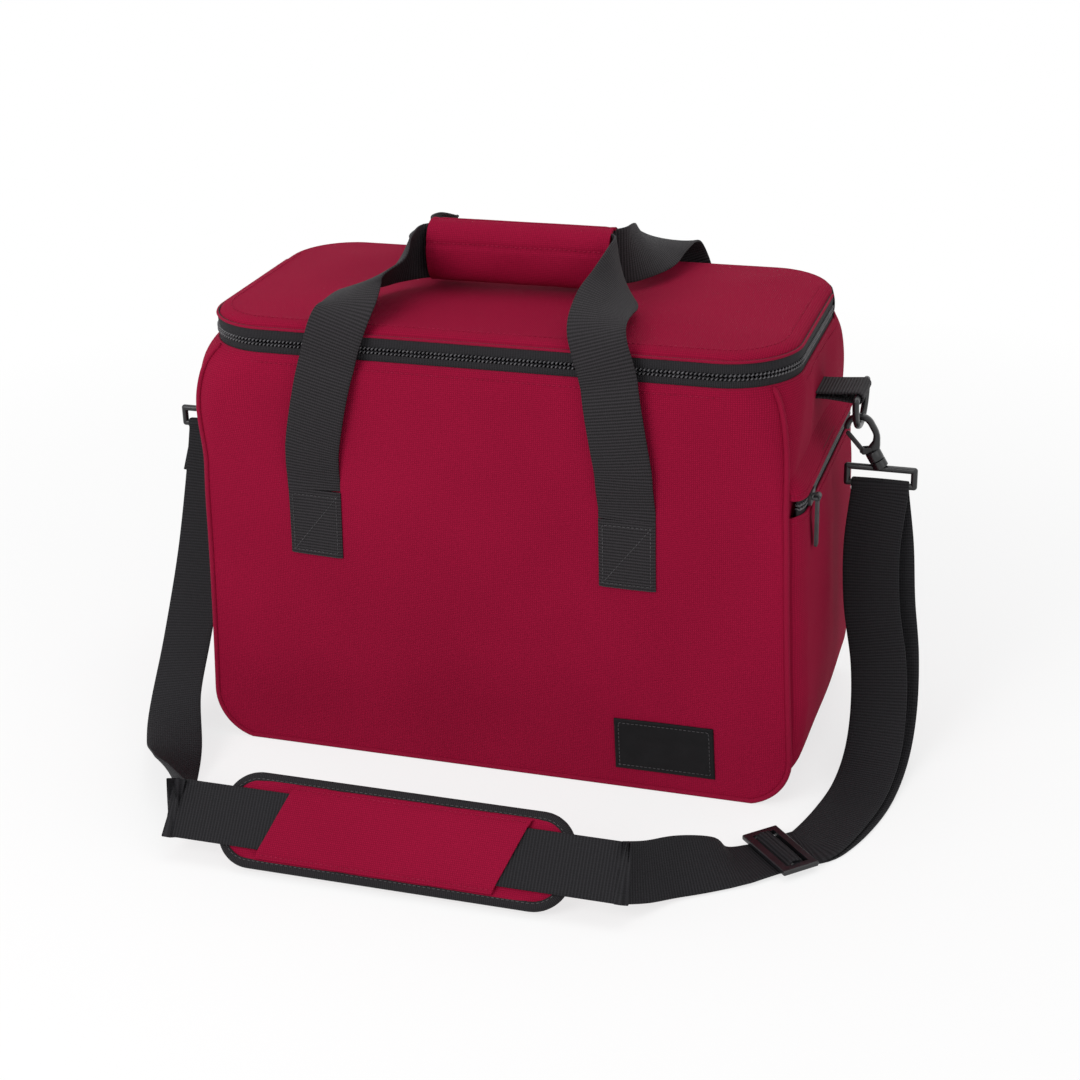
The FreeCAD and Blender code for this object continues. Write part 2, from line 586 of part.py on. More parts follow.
hook_body = bow.fuse([barrel, across_disc(PIN_R, pivot.x, pivot.z, HOOK_DEPTH)])
hook_body = largest(hook_body.cut(stem_bore.fuse(head_room)))
gate = rod(pivot, gate_tip, GATE_R).fuse([
    ball(gate_tip, GATE_R), across_disc(GATE_R + 0.4, pivot.x, pivot.z, 2.0 * gate_half),
])
flat_sides = box(-far, far, -gate_half, gate_half, -far, far)
gate = largest(gate.common(flat_sides).cut(across_disc(PIN_R + 0.15, pivot.x, pivot.z, far)))
stem = Part.makeCylinder(STEM_R, shank_low + 4.0 - collar_low, V(0, 0, collar_low), V(0, 0, 1))
head = Part.makeCylinder(STEM_R + 1.4, 1.6, V(0, 0, shank_low + 3.7), V(0, 0, 1))
collar = Part.makeCylinder(COLLAR_R, COLLAR_H, V(0, 0, collar_low), V(0, 0, 1))
swivel = stem.fuse([head, collar])


def tilt(shape):
    """Place an upright hook piece at the right-hand ring, leaning outwards at its lower end."""
    copy = shape.copy()
    copy.rotate(V(0, 0, 0), V(0, 1, 0), -HOOK_TILT)
    copy.translate(V(RING_X, 0, bow_z))
    return copy


lean = math.radians(HOOK_TILT)
bar_r = FRAME_BAR / 2.0
frame_x = RING_X - collar_low * math.sin(lean)
bar_top_z = bow_z + collar_low * math.cos(lean) - 1.0
bar_z = bar_top_z - FRAME_SLOT - FRAME_BAR
frame_half = FRAME_IN_W / 2.0 + bar_r
corners = [
    V(frame_x + side * frame_half, 0, height) for side, height in (
        (-1, bar_z), (1, bar_z), (1, bar_top_z), (-1, bar_top_z),
    )
]
frame_parts = [rod(corners[i], corners[(i + 1) % 4], bar_r) for i in range(4)]
frame_parts += [ball(corner, bar_r) for corner in corners]
swivel_frame = largest(tilt(swivel).fuse(frame_parts))

for name, shape in (
    ("hook", tilt(hook_body)), ("hook_gate", tilt(gate)), ("swivel_frame", swivel_frame),
):
    add(name + "_right", shape)
    add(name + "_left", mirror_x(shape))

# ---- shoulder strap ----
bar_x = frame_x
wrap_r = FRAME_BAR / 2.0 + LAYER_GAP + WEB_T / 2.0
flat = V(1, 0, 0)
pad_lean = math.radians(PAD_LEAN)
pad_up = V(0, math.sin(pad_lean), math.cos(pad_lean))
pad_out = V(0, -math.cos(pad_lean), math.sin(pad_lean))
pad_run_half = PAD_L / 2.0 + PAD_TRAVEL + 4.0
run_right = PAD_CENTRE + V(pad_run_half, 0, 0)
run_left = PAD_CENTRE - V(pad_run_half, 0, 0)
down = pad_up * -1.0
tri_centre = V(212.0, -165.0, 5.6)
tri_along = V(-0.72, -0.69, 0.0).normalize()
tri_across = V(0.69, -0.72, 0.0).normalize()
tri_slot = (TRI_W - 3.0 * TRI_BAR) / 2.0
tri_pitch = (TRI_BAR + tri_slot) / 2.0
tri_lift = TRI_T / 2.0 + WEB_T / 2.0 + LAYER_GAP
ramp_high = TRI_BAR / 2.0 + 0.6
ramp_low = TRI_BAR / 2.0 + tri_slot - 0.6


def by_slider(along, lift, across=tri_across):
    """Strap station at a distance along the three-bar slider and a height over its middle."""
    return (tri_centre + tri_along * along + V(0, 0, lift), across)


right_drop = [
    (V(bar_x, -wrap_r, bar_z), flat),
    (V(bar_x, -wrap_r, bar_z - 6.0), flat),
    (V(bar_x - 3.0, -6.0, 150.0 * RUN_RISE), flat),
    (V(bar_x - 1.0, -9.0, 110.0 * RUN_RISE), flat),
    (V(bar_x + 6.0, -14.0, 70.0 * RUN_RISE), flat),
    (V(bar_x + 9.0, -25.0, 38.0), flat),
    (V(bar_x + 9.0, -46.0, 16.0), V(1, -0.05, 0)),
    (V(bar_x + 6.0, -78.0, 6.4), V(1, -0.15, 0)),
    (V(bar_x - 1.0, -114.0, 4.6), V(1, -0.45, 0)),
    by_slider(-27.0, -2.0, V(0.8, -0.6, 0)),
    by_slider(-TRI_W / 2.0 - 1.0, -tri_lift),
    by_slider(-ramp_low, -tri_lift),
    by_slider(-ramp_high, tri_lift),
    by_slider(0.0, tri_lift),
]
right_return = [
    (V(bar_x, wrap_r, bar_z), flat),
    (V(bar_x, wrap_r, bar_z - 6.0), flat),
    (V(bar_x + 5.0, 4.0, 150.0 * RUN_RISE), flat),
    (V(bar_x + 8.0, 3.0, 110.0 * RUN_RISE), flat),
    (V(bar_x + 13.0, -1.0, 70.0 * RUN_RISE), flat),
    (V(bar_x + 15.0, -13.0, 34.0), flat),
    (V(bar_x + 14.0, -38.0, 10.0), V(1, -0.05, 0)),
    (V(bar_x + 10.0, -78.0, 1.3), V(1, -0.15, 0)),
    (V(bar_x + 2.0, -116.0, 0.9), V(1, -0.45, 0)),
    by_slider(-30.0, -4.7, V(0.8, -0.6, 0)),
    by_slider(-TRI_W / 2.0 - 4.0, -4.7),
]
right_floor = [
    by_slider(0.0, tri_lift),
    by_slider(ramp_high, tri_lift),
    by_slider(ramp_low, -tri_lift),
    by_slider(TRI_W / 2.0 + 1.0, -tri_lift),
    by_slider(30.0, -1.2, V(0.62, -0.76, -0.1)),
    by_slider(44.0, 4.5, V(0.45, -0.72, -0.42)),
    (V(158.0, -214.0, 17.5), V(0.14, -0.62, -0.78)),
    (V(143.0, -232.0, 24.0), V(0.04, -0.52, -0.85)),
    (run_right + V(5.0, 0, 0), down),
    (run_right, down),
]
left_floor = [
    (V(-bar_x, -wrap_r, bar_z), flat),
    (V(-bar_x, -wrap_r, bar_z - 6.0), flat),
    (V(-bar_x - 5.0, -14.0, 150.0 * RUN_RISE), flat),
    (V(-bar_x - 8.0, -38.0, 105.0 * RUN_RISE), flat),
    (V(-bar_x - 7.0, -74.0, 62.0 * RUN_RISE), V(1, -0.1, 0)),
    (V(-bar_x + 1.0, -114.0, 32.0), V(1, -0.25, -0.05)),
    (V(-bar_x + 20.0, -152.0, 20.0), V(0.95, -0.35, -0.25)),
    (V(-bar_x + 42.0, -188.0, 19.5), V(0.75, -0.3, -0.6)),
    (V(-bar_x + 62.0, -218.0, 24.0), V(0.4, -0.4, -0.83)),
    (run_left - V(5.0, 0, 0), down),
    (run_left, down),
]
left_tail = [
    (V(-bar_x, wrap_r, bar_z), flat),
    (V(-bar_x, wrap_r, bar_z - 6.0), flat),
    (V(-bar_x - 2.0, -1.5, bar_z - 17.0), flat),
    (V(-bar_x - 4.5, -9.5, bar_z - 36.0), flat),
]


def fold(x_mid):
    """Half turn of webbing over the lower bar of a swivel frame."""
    start = x_mid - WEB_W / 2.0
    outer = Part.makeCylinder(wrap_r + WEB_T / 2.0, WEB_W, V(start, 0, bar_z), V(1, 0, 0))
    inner = Part.makeCylinder(wrap_r - WEB_T / 2.0, WEB_W + 2, V(start - 1, 0, bar_z), V(1, 0, 0))
    return outer.cut(inner).common(box(-far * 2, far * 2, -far, far, bar_z, TALL))


add("strap_right_drop", largest(ribbon(right_drop, WEB_W, WEB_T).fuse(fold(bar_x))))
add("strap_right_return", ribbon(right_return, WEB_W, WEB_T))
add("strap_right_floor", ribbon(right_floor, WEB_W, WEB_T))
left_run = ribbon(left_floor, WEB_W, WEB_T).fuse([fold(-bar_x), ribbon(left_tail, WEB_W, WEB_T)])
add("strap_left_run", largest(left_run))
add("strap_pad_run", ribbon([(run_left, down), (run_right, down)], WEB_W, WEB_T))

# ---- shoulder pad: padded base, edge binding and a sleeve that the strap runs through ----
pad_turn = FreeCAD.Rotation(V(1, 0, 0), pad_up, pad_out, "XYZ")
pad_back = -(WEB_T / 2.0 + LAYER_GAP + PAD_T)


def on_pad(shape):
    """Place a piece drawn flat, with Z out of the pad's face, at the pad."""
    shape.Placement = FreeCAD.Placement(PAD_CENTRE, pad_turn).multiply(shape.Placement)
    return shape


def pad_block(length, width, low, high, radius):
    """Flat block with rounded corners."""
    block = box(-length / 2.0, length / 2.0, -width / 2.0, width / 2.0, low, high)
    return block.makeFillet(radius, [e for e in block.Edges if abs(e.tangentAt(e.FirstParameter).z) > 0.9])


rim = pad_block(PAD_L, PAD_W, pad_back, pad_back + PAD_T, PAD_CORNER)
inner = pad_block(
    PAD_L - 2 * PAD_BIND, PAD_W - 2 * PAD_BIND, pad_back - 1, pad_back + PAD_T + 1, PAD_CORNER - PAD_BIND
)
base = pad_block(
    PAD_L - 2 * PAD_BIND, PAD_W - 2 * PAD_BIND, pad_back, pad_back + PAD_T, PAD_CORNER - PAD_BIND
)
add("pad_binding", on_pad(rim.cut(inner)))
add("pad_base", on_pad(base))
sleeve_top = WEB_T / 2.0 + LAYER_GAP + SLEEVE_T
half_in = WEB_W / 2.0 + 0.6
half_out = half_in + SLEEVE_LEDGE
ends = SLEEVE_L / 2.0
corners = [
    V(-ends, -half_out, 0), V(ends - SLEEVE_SLANT, -half_out, 0),
    V(ends, half_out, 0), V(-ends + SLEEVE_SLANT, half_out, 0), V(-ends, -half_out, 0),
]
sleeve = Part.Face(Part.makePolygon(corners)).extrude(V(0, 0, sleeve_top - pad_back - PAD_T))
sleeve.translate(V(0, 0, pad_back + PAD_T))
tunnel = box(-far, far, -half_in, half_in, -far, WEB_T / 2.0 + LAYER_GAP)
add("pad_sleeve", on_pad(largest(sleeve.cut(tunnel))))

# ---- three-bar slider on the strap ----
tri = Part.makeBox(TRI_L, TRI_W, TRI_T, V(-TRI_L / 2.0, -TRI_W / 2.0, -TRI_T / 2.0))
tri = tri.makeFillet(TRI_T * 0.3, tri.Edges)
for side in (-1, 1):
    y_mid = side * tri_pitch
    slot = box(-FRAME_IN_W / 2.0, FRAME_IN_W / 2.0, y_mid - tri_slot / 2.0, y_mid + tri_slot / 2.0, -9, 9)
    tri = tri.cut(slot)
tri_turn = FreeCAD.Rotation(tri_across, V(0, 0, 1).cross(tri_across), V(0, 0, 1), "XZY")
tri.Placement = FreeCAD.Placement(tri_centre, tri_turn)
add("strap_slider", largest(tri))

# ---- plain label ----
label = box(
    LABEL_X - LABEL_W / 2.0, LABEL_X + LABEL_W / 2.0, -HALF_D - LABEL_T, -HALF_D,
    LABEL_Z - LABEL_H / 2.0, LABEL_Z + LABEL_H / 2.0,
)
upright_edges = [edge for edge in label.Edges if abs(edge.tangentAt(edge.FirstParameter).y) > 0.9]
add("label_patch", label.makeFillet(3.0, upright_edges))

os.makedirs("parts", exist_ok=True)
for name, shape in NODES.items():
    shape.exportStep("parts/" + name + ".step")
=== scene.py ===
"""Looks of an insulated cooler bag with a zipped lid, joined carry handles and a shoulder strap."""
import logging
import math
from dataclasses import dataclass, field
from enum import Enum
from typing import Callable, ClassVar

import bpy
import numpy as np
from mathutils import Matrix


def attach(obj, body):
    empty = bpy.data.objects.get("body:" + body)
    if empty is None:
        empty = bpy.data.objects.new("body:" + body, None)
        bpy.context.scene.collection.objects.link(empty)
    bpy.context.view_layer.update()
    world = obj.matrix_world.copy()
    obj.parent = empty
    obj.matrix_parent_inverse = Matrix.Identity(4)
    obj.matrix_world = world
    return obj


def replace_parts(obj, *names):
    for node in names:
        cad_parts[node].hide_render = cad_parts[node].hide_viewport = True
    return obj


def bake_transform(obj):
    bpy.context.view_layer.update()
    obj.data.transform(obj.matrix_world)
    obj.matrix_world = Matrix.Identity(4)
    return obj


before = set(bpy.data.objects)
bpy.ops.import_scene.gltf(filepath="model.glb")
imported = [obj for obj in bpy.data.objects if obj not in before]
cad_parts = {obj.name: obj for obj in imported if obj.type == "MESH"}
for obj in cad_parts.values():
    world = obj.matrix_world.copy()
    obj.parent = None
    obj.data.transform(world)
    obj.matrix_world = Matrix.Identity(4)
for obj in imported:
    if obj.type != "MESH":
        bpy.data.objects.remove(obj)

LOG = logging.getLogger("cooler_bag")
MM = 0.001
UV_NAME = "cloth_mm"
Array = np.ndarray


class Side(Enum):
    """Which side of the bag a piece is on, as the sign of X."""

    LEFT = -1
    RIGHT = 1

    @property
    def word(self) -> str:
        """The side's name in lower case, as it stands in the names of pieces."""
        return self.name.lower()


class Face(Enum):
    """Which face of the bag a piece is on, as the sign of Y."""

    FRONT = -1
    BACK = 1

    @property
    def word(self) -> str:
        """The face's name in lower case, as it stands in the names of pieces."""
        return self.name.lower()


# ---------------------------------------------------------------- finishes


def linear(colour: str) -> tuple[float, float, float, float]:
    """Turn an sRGB hex colour into linear light.

    Args:
        colour: six hex digits after a hash sign.

    Returns:
        Red, green, blue and alpha, linear.
    """
    raw = np.array([int(colour[i : i + 2], 16) for i in (1, 3, 5)]) / 255.0
    light = np.where(raw <= 0.04045, raw / 12.92, ((raw + 0.055) / 1.055) ** 2.4)
    return (float(light[0]), float(light[1]), float(light[2]), 1.0)


def add_node(tree: bpy.types.NodeTree, kind: str, inputs: dict | None = None, **settings) -> bpy.types.Node:
    """Add one shader node with its settings and its links.

    Args:
        tree: the material's or world's node tree.
        kind: the node's type name, without the ShaderNode prefix.
        inputs: socket name or number to a constant, or to the socket that feeds it.
        settings: properties of the node.

    Returns:
        The new node.
    """
    node = tree.nodes.new("ShaderNode" + kind)
    for key, value in settings.items():
        setattr(node, key, value)
    for key, value in (inputs or {}).items():
        if isinstance(value, bpy.types.NodeSocket):
            tree.links.new(value, node.inputs[key])
        else:
            node.inputs[key].default_value = value
    return node


def bands_per(period_mm: float, diagonal: bool = False) -> float:
    """Wave texture scale that repeats every so many units; a diagonal band runs half as fast."""
    return 2.0 * math.pi / (period_mm * (10.0 if diagonal else 20.0))


@dataclass(frozen=True)
class Finish:
    """A finish of one real material: its name, record slot, two tones, roughness and mirror share."""

    name: str
    slot: str
    colour: str
    tint: str
    roughness: float
    mirror: float = 0.5

    made: ClassVar[dict[str, bpy.types.Material]] = {}

    def material(self) -> bpy.types.Material:
        """Make the material the first time it is asked for.

        Returns:
            The material.
        """
        if self.name not in Finish.made:
            material = bpy.data.materials.new(self.name)
            material.use_nodes = True
            tree = material.node_tree
            tree.nodes.clear()
            shader = add_node(
                tree, "BsdfPrincipled", {"Roughness": self.roughness, "Specular IOR Level": self.mirror}
            )
            add_node(tree, "OutputMaterial", {"Surface": shader.outputs[0]})
            self.dress(tree, shader)
            Finish.made[self.name] = material
        return Finish.made[self.name]

    def dress(self, tree: bpy.types.NodeTree, shader: bpy.types.Node) -> None:
        """Link the pattern of this finish; a plain finish has a slight mottle."""
        self.mottle(tree, shader, 60.0, 0.00003)

    def mottle(self, tree: bpy.types.NodeTree, shader: bpy.types.Node, scale: float, depth: float) -> None:
        """Cloud the colour between the two tones and rough up the surface.

        Args:
            tree: the material's node tree.
            shader: its principled shader.
            scale: repeats of the noise per metre.
            depth: height of the grain in metres.
        """
        place = add_node(tree, "TexCoord")
        cloud = add_node(tree, "TexNoise", {"Vector": place.outputs["Object"], "Scale": scale, "Detail": 6.0})
        self.blend(tree, shader, cloud.outputs[0])
        grain = add_node(
            tree, "TexNoise", {"Vector": place.outputs["Object"], "Scale": scale * 22.0, "Detail": 3.0}
        )
        self.emboss(tree, shader, grain.outputs[0], depth)

    def blend(self, tree: bpy.types.NodeTree, shader: bpy.types.Node, factor: bpy.types.NodeSocket) -> None:
        """Ramp from the colour to its tint by a factor, and feed the shader.

        Args:
            tree: the material's node tree.
            shader: its principled shader.
            factor: socket from 0, the colour, to 1, the tint.
        """
        ramp = add_node(tree, "ValToRGB", {"Fac": factor})
        low, high = ramp.color_ramp.elements
        low.position, low.color = 0.3, linear(self.colour)
        high.position, high.color = 0.7, linear(self.tint)
        tree.links.new(ramp.outputs[0], shader.inputs["Base Color"])

    def emboss(
        self, tree: bpy.types.NodeTree, shader: bpy.types.Node, height: bpy.types.NodeSocket, depth: float
    ) -> None:
        """Feed a height to the shader's normal.

        Args:
            tree: the material's node tree.
            shader: its principled shader.
            height: socket from 0, low, to 1, high.
            depth: height in metres of a step from 0 to 1.
        """
        bump = add_node(tree, "Bump", {"Height": height, "Strength": 1.0, "Distance": depth})
        tree.links.new(bump.outputs[0], shader.inputs["Normal"])


@dataclass(frozen=True)
class WovenCloth(Finish):
    """Plain-woven polyester: crossing yarns, a little sheen at grazing angles, faint shade changes."""

    yarn_mm: float = 1.3
    relief_mm: float = 0.2
    sheen: float = 0.12

    def dress(self, tree: bpy.types.NodeTree, shader: bpy.types.Node) -> None:
        """Weave: the product of two crossing waves, shaded over large soft clouds.

        Args:
            tree: the material's node tree.
            shader: its principled shader.
        """
        cloth = add_node(tree, "UVMap", uv_map=UV_NAME)
        scale = bands_per(self.yarn_mm)
        soft = {"Vector": cloth.outputs[0], "Scale": scale, "Distortion": 0.0}
        warp = add_node(tree, "TexWave", soft, bands_direction="X")
        weft = add_node(tree, "TexWave", soft, bands_direction="Y")
        weave = add_node(
            tree, "Math", {0: warp.outputs["Fac"], 1: weft.outputs["Fac"]}, operation="MULTIPLY"
        )
        place = add_node(tree, "TexCoord")
        cloud = add_node(tree, "TexNoise", {"Vector": place.outputs["Object"], "Scale": 9.0, "Detail": 2.0})
        faint = add_node(tree, "Math", {0: cloud.outputs[0], 1: 0.3}, operation="MULTIPLY")
        slub = add_node(
            tree, "TexNoise", {"Vector": cloth.outputs[0], "Scale": 0.55, "Detail": 4.0, "Roughness": 0.7}
        )
        tone = add_node(
            tree, "Math", {0: weave.outputs[0], 1: 0.50, 2: faint.outputs[0]}, operation="MULTIPLY_ADD"
        )
        shade = add_node(
            tree, "Math", {0: slub.outputs[0], 1: 0.35, 2: tone.outputs[0]}, operation="MULTIPLY_ADD"
        )
        self.blend(tree, shader, shade.outputs[0])
        height = add_node(
            tree, "Math", {0: slub.outputs[0], 1: 0.4, 2: weave.outputs[0]}, operation="MULTIPLY_ADD"
        )
        self.emboss(tree, shader, height.outputs[0], self.relief_mm * MM)
        shader.inputs["Sheen Weight"].default_value = self.sheen
        shader.inputs["Sheen Tint"].default_value = linear("#C03058")
        shader.inputs["Sheen Roughness"].default_value = 0.45


@dataclass(frozen=True)
class RibbedTape(Finish):
    """Heavy polypropylene webbing or grosgrain: ribs across the tape, fine warp ends along it."""

    rib_mm: float = 2.1
    end_mm: float = 1.5
    relief_mm: float = 0.3

    def dress(self, tree: bpy.types.NodeTree, shader: bpy.types.Node) -> None:
        """Ribs: one wave along the tape, and a finer one across it that breaks each rib up.

        Args:
            tree: the material's node tree.
            shader: its principled shader.
        """
        cloth = add_node(tree, "UVMap", uv_map=UV_NAME)
        ribs = add_node(
            tree, "TexWave",
            {"Vector": cloth.outputs[0], "Scale": bands_per(self.rib_mm), "Distortion": 0.6,
             "Detail": 2.0, "Detail Scale": 0.6},
            bands_direction="X",
        )
        ends = add_node(
            tree, "TexWave", {"Vector": cloth.outputs[0], "Scale": bands_per(self.end_mm)},
            bands_direction="Y",
        )
        slub = add_node(tree, "TexNoise", {"Vector": cloth.outputs[0], "Scale": 0.4, "Detail": 5.0})
        woven = add_node(
            tree, "Math", {0: ends.outputs["Fac"], 1: 0.35, 2: ribs.outputs["Fac"]},
            operation="MULTIPLY_ADD",
        )
        rough = add_node(
            tree, "Math", {0: slub.outputs[0], 1: 0.5, 2: woven.outputs[0]}, operation="MULTIPLY_ADD"
        )
        tone = add_node(tree, "Math", {0: rough.outputs[0], 1: 0.55}, operation="MULTIPLY")
        self.blend(tree, shader, tone.outputs[0])
        self.emboss(tree, shader, rough.outputs[0], self.relief_mm * MM)


@dataclass(frozen=True)
class Moulded(Finish):
    """Injection-moulded or die-cast hardware: spark-eroded grain under a soft gloss."""

    grain_mm: float = 0.02

    def dress(self, tree: bpy.types.NodeTree, shader: bpy.types.Node) -> None:
        """Fine grain, and worn, slightly paler clouds."""
        self.mottle(tree, shader, 90.0, self.grain_mm * MM)


@dataclass(frozen=True)
class Film(Finish):
    """Heat-sealed lining film: smooth, pale, with a soft crinkle."""

    def dress(self, tree: bpy.types.NodeTree, shader: bpy.types.Node) -> None:
        """Crinkle: low noise a few centimetres across."""
        self.mottle(tree, shader, 14.0, 0.0004)


# Crimson 600-denier polyester: the yarns are about 0.6 mm apart, drawn twice as coarse to show.
SHELL_CLOTH = WovenCloth("polyester_woven_crimson", "shell_fabric", "#7C0729", "#981036", 0.85, 0.08)
# The same cloth cut on the bias and wrapped round a cord, so its yarns look finer.
PIPING_CLOTH = WovenCloth(
    "polyester_bias_crimson", "piping_fabric", "#7C0729", "#981238", 0.75, 0.1, yarn_mm=0.9, sheen=0.2
)
# Polypropylene webbing: charcoal black, dull, with ribs that catch the light.
WEBBING = RibbedTape("polypropylene_webbing_charcoal", "webbing", "#131113", "#2C292C", 0.7, 0.2)
# The shoulder strap's webbing is the same yarn as the handles', made darker as painted shade: a shaded copy of
# that webbing.
SHADED_STRAP_WEBBING = RibbedTape("polypropylene_webbing_black", "webbing", "#0E0D10", "#201F22", 0.72, 0.2)
# Grosgrain binding: finer ribs than the webbing.
BINDING = RibbedTape(
    "grosgrain_binding_black", "binding_tape", "#100F11", "#242225", 0.78, 0.2, rib_mm=1.3, end_mm=1.1,
    relief_mm=0.16,
)
# Knitted zip tape: fine cords along the tape.
ZIP_TAPE = RibbedTape(
    "polyester_zip_tape_black", "zip_tape", "#151416", "#2A292C", 0.8, 0.2, rib_mm=1.1, end_mm=1.2,
    relief_mm=0.14,
)
# Nylon coil: smooth drawn monofilament, so it glints; the black nylon is coloured mid grey as a painted
# highlight.
PAINTED_HIGHLIGHT_COIL = Moulded("nylon_coil_black", "zip_tape", "#343336", "#515053", 0.28)
# Die-cast zinc with baked black paint, rubbed on its edges.
ZINC = Moulded("zinc_cast_black_paint", "zip_metal", "#1C1B1D", "#38373A", 0.32)
# Acetal hardware: satin black, moulded in a lightly etched tool.
ACETAL = Moulded("acetal_moulded_black", "moulded_plastic", "#0F0F11", "#1C1C1F", 0.3)
# Soft moulded label: matt rubber.
LABEL = Moulded("rubber_label_black", "label_rubber", "#0A090B", "#121113", 0.65, 0.15, grain_mm=0.06)
# Hook and loop strip: a dense dull nap.
NAP = RibbedTape(
    "hook_loop_nap_black", "hook_and_loop", "#141315", "#29282A", 0.95, 0.1, rib_mm=0.9, end_mm=0.9,
    relief_mm=0.35,
)
# PEVA lining film: silver grey with a satin shine.
LINING = Film("peva_lining_silver", "lining_film", "#AEB2B6", "#C4C8CC", 0.36)
# Closed-cell polyethylene foam: off-white, dull.
FOAM = Finish("polyethylene_foam_white", "insulation_foam", "#D8D8D2", "#E6E6E0", 0.9)
# Hollow stiffener board: dark grey extruded plastic.
BOARD = Finish("polypropylene_board_grey", "stiffener_board", "#2E2F31", "#3A3B3D", 0.6)
# Spun polyester sewing thread, in the two colours used.
THREAD_RED = Finish("thread_spun_crimson", "shell_fabric", "#7E0A2A", "#98183C", 0.7, 0.1)
THREAD_BLACK = Finish("thread_spun_black", "webbing", "#2A292B", "#454346", 0.6)


# ---------------------------------------------------------------- meshes


def unit(vectors: Array) -> Array:
    """Scale each vector to length one."""
    length = np.linalg.norm(vectors, axis=-1, keepdims=True)
    return vectors / np.maximum(length, 1e-9)


def ease(value: Array, low: float, high: float) -> Array:
    """Smooth step from 0 at the low value to 1 at the high value; the ends may be swapped."""
    t = np.clip((np.asarray(value, float) - low) / (high - low), 0.0, 1.0)
    return t * t * (3.0 - 2.0 * t)


def catmull(points: Array | list, steps: int) -> Array:
    """Smooth curve through points: each span is the Catmull-Rom cubic of its four neighbours.

    Args:
        points: the points, one per row.
        steps: samples per span.

    Returns:
        Samples along the curve, the last point included.
    """
    points = np.asarray(points, float)
    padded = np.vstack([2 * points[0] - points[1], points, 2 * points[-1] - points[-2]])
    t = (np.arange(steps) / steps)[None, :, None]
    a, b, c, d = (padded[i : len(padded) - 3 + i][:, None, :] for i in range(4))
    curve = 0.5 * (2 * b + (c - a) * t + (2 * a - 5 * b + 4 * c - d) * t**2 + (3 * b - a - 3 * c + d) * t**3)
    return np.vstack([curve.reshape(-1, points.shape[1]), points[-1:]])


def stack(*parts: Array | float) -> Array:
    """Points from their coordinates, which may be arrays or plain numbers, spread to one shape."""
    return np.stack(np.broadcast_arrays(*parts), axis=-1)


def raised(flat: Array, level: Array | float) -> Array:
    """Points of a plan, at a height."""
    return stack(flat[..., 0], flat[..., 1], level)


def rounded(radius: Array | float, edge: Array) -> Array:
    """How far a rounded edge falls back: a quarter circle, by the distance to the edge."""
    into = np.clip((radius - edge) / radius, 0.0, 1.0)
    return radius * (1.0 - np.sqrt(1.0 - into**2))


def arc_length(path: Array) -> Array:
    """Distance along a path at each of its points."""
    return np.concatenate([[0.0], np.cumsum(np.linalg.norm(np.diff(path, axis=0), axis=1))])


def even(path: Array, spacing: float) -> Array:
    """The same path, sampled at an even spacing.

    Args:
        path: points of the path.
        spacing: wished distance from one sample to the next; the nearest that fits is used.

    Returns:
        The samples, both ends included.
    """
    s = arc_length(path)
    count = max(int(round(s[-1] / spacing)), 2) + 1
    at = np.linspace(0.0, s[-1], count)
    return np.stack([np.interp(at, s, path[:, k]) for k in range(path.shape[1])], axis=1)


def finish_mesh(
    name: str, points: Array, quads: Array, corner_uv: Array, body: str | None, look: Finish,
    tris: Array | None = None, sharp: float = 50.0,
) -> bpy.types.Object:
    """Put vertices and faces into a mesh object, facing outwards, dressed and riding on its body.

    Args:
        name: the piece's name.
        points: vertices in millimetres, one per row.
        quads: four vertex numbers per row.
        corner_uv: UV in millimetres of each corner of each quad.
        body: the body it rides on, or None for a piece left on no body.
        look: its finish.
        tris: three vertex numbers per row, for end caps, which have no UV.
        sharp: edges that turn more degrees than this stay crisp.

    Returns:
        The object.
    """
    tris = np.zeros((0, 3), int) if tris is None else tris
    a, b, c, d = (points[quads[:, k]] for k in range(4))
    volume = (a * np.cross(b, c)).sum() + (a * np.cross(c, d)).sum()
    e, f, g = (points[tris[:, k]] for k in range(3))
    volume += (e * np.cross(f, g)).sum()
    if volume < 0:
        quads, corner_uv, tris = quads[:, ::-1], corner_uv[:, ::-1], tris[:, ::-1]
    mesh = bpy.data.meshes.new(name)
    mesh.from_pydata((points * MM).tolist(), [], quads.tolist() + tris.tolist())
    layer = mesh.uv_layers.new(name=UV_NAME)
    flat = np.concatenate([corner_uv.reshape(-1, 2), np.zeros((3 * len(tris), 2))])
    layer.data.foreach_set("uv", flat.astype(np.float32).ravel())
    mesh.polygons.foreach_set("use_smooth", np.ones(len(mesh.polygons), bool))
    mesh.set_sharp_from_angle(angle=math.radians(sharp))
    mesh.materials.append(look.material())
    piece = bpy.data.objects.new(name, mesh)
    bpy.context.scene.collection.objects.link(piece)
    if body is not None:
        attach(piece, body)
    LOG.info("%s: %d faces", name, len(mesh.polygons))
    return piece


def grid_quads(rows: int, cols: int, wrap: bool) -> tuple[Array, Array]:
    """Quads of a grid, by vertex number and by UV number.

    Args:
        rows: rows of vertices.
        cols: vertices in a row.
        wrap: whether the last vertex of a row joins the first.

    Returns:
        Vertex numbers and UV numbers, four per quad; a wrapped grid has one more UV per row.
    """
    spans = cols if wrap else cols - 1
    i, j = np.meshgrid(np.arange(rows - 1), np.arange(spans), indexing="ij")
    after = (j + 1) % cols
    quads = stack(i * cols + j, i * cols + after, (i + 1) * cols + after, (i + 1) * cols + j)
    width = spans + 1
    numbers = stack(i * width + j, i * width + j + 1, (i + 1) * width + j + 1, (i + 1) * width + j)
    return quads.reshape(-1, 4), numbers.reshape(-1, 4)


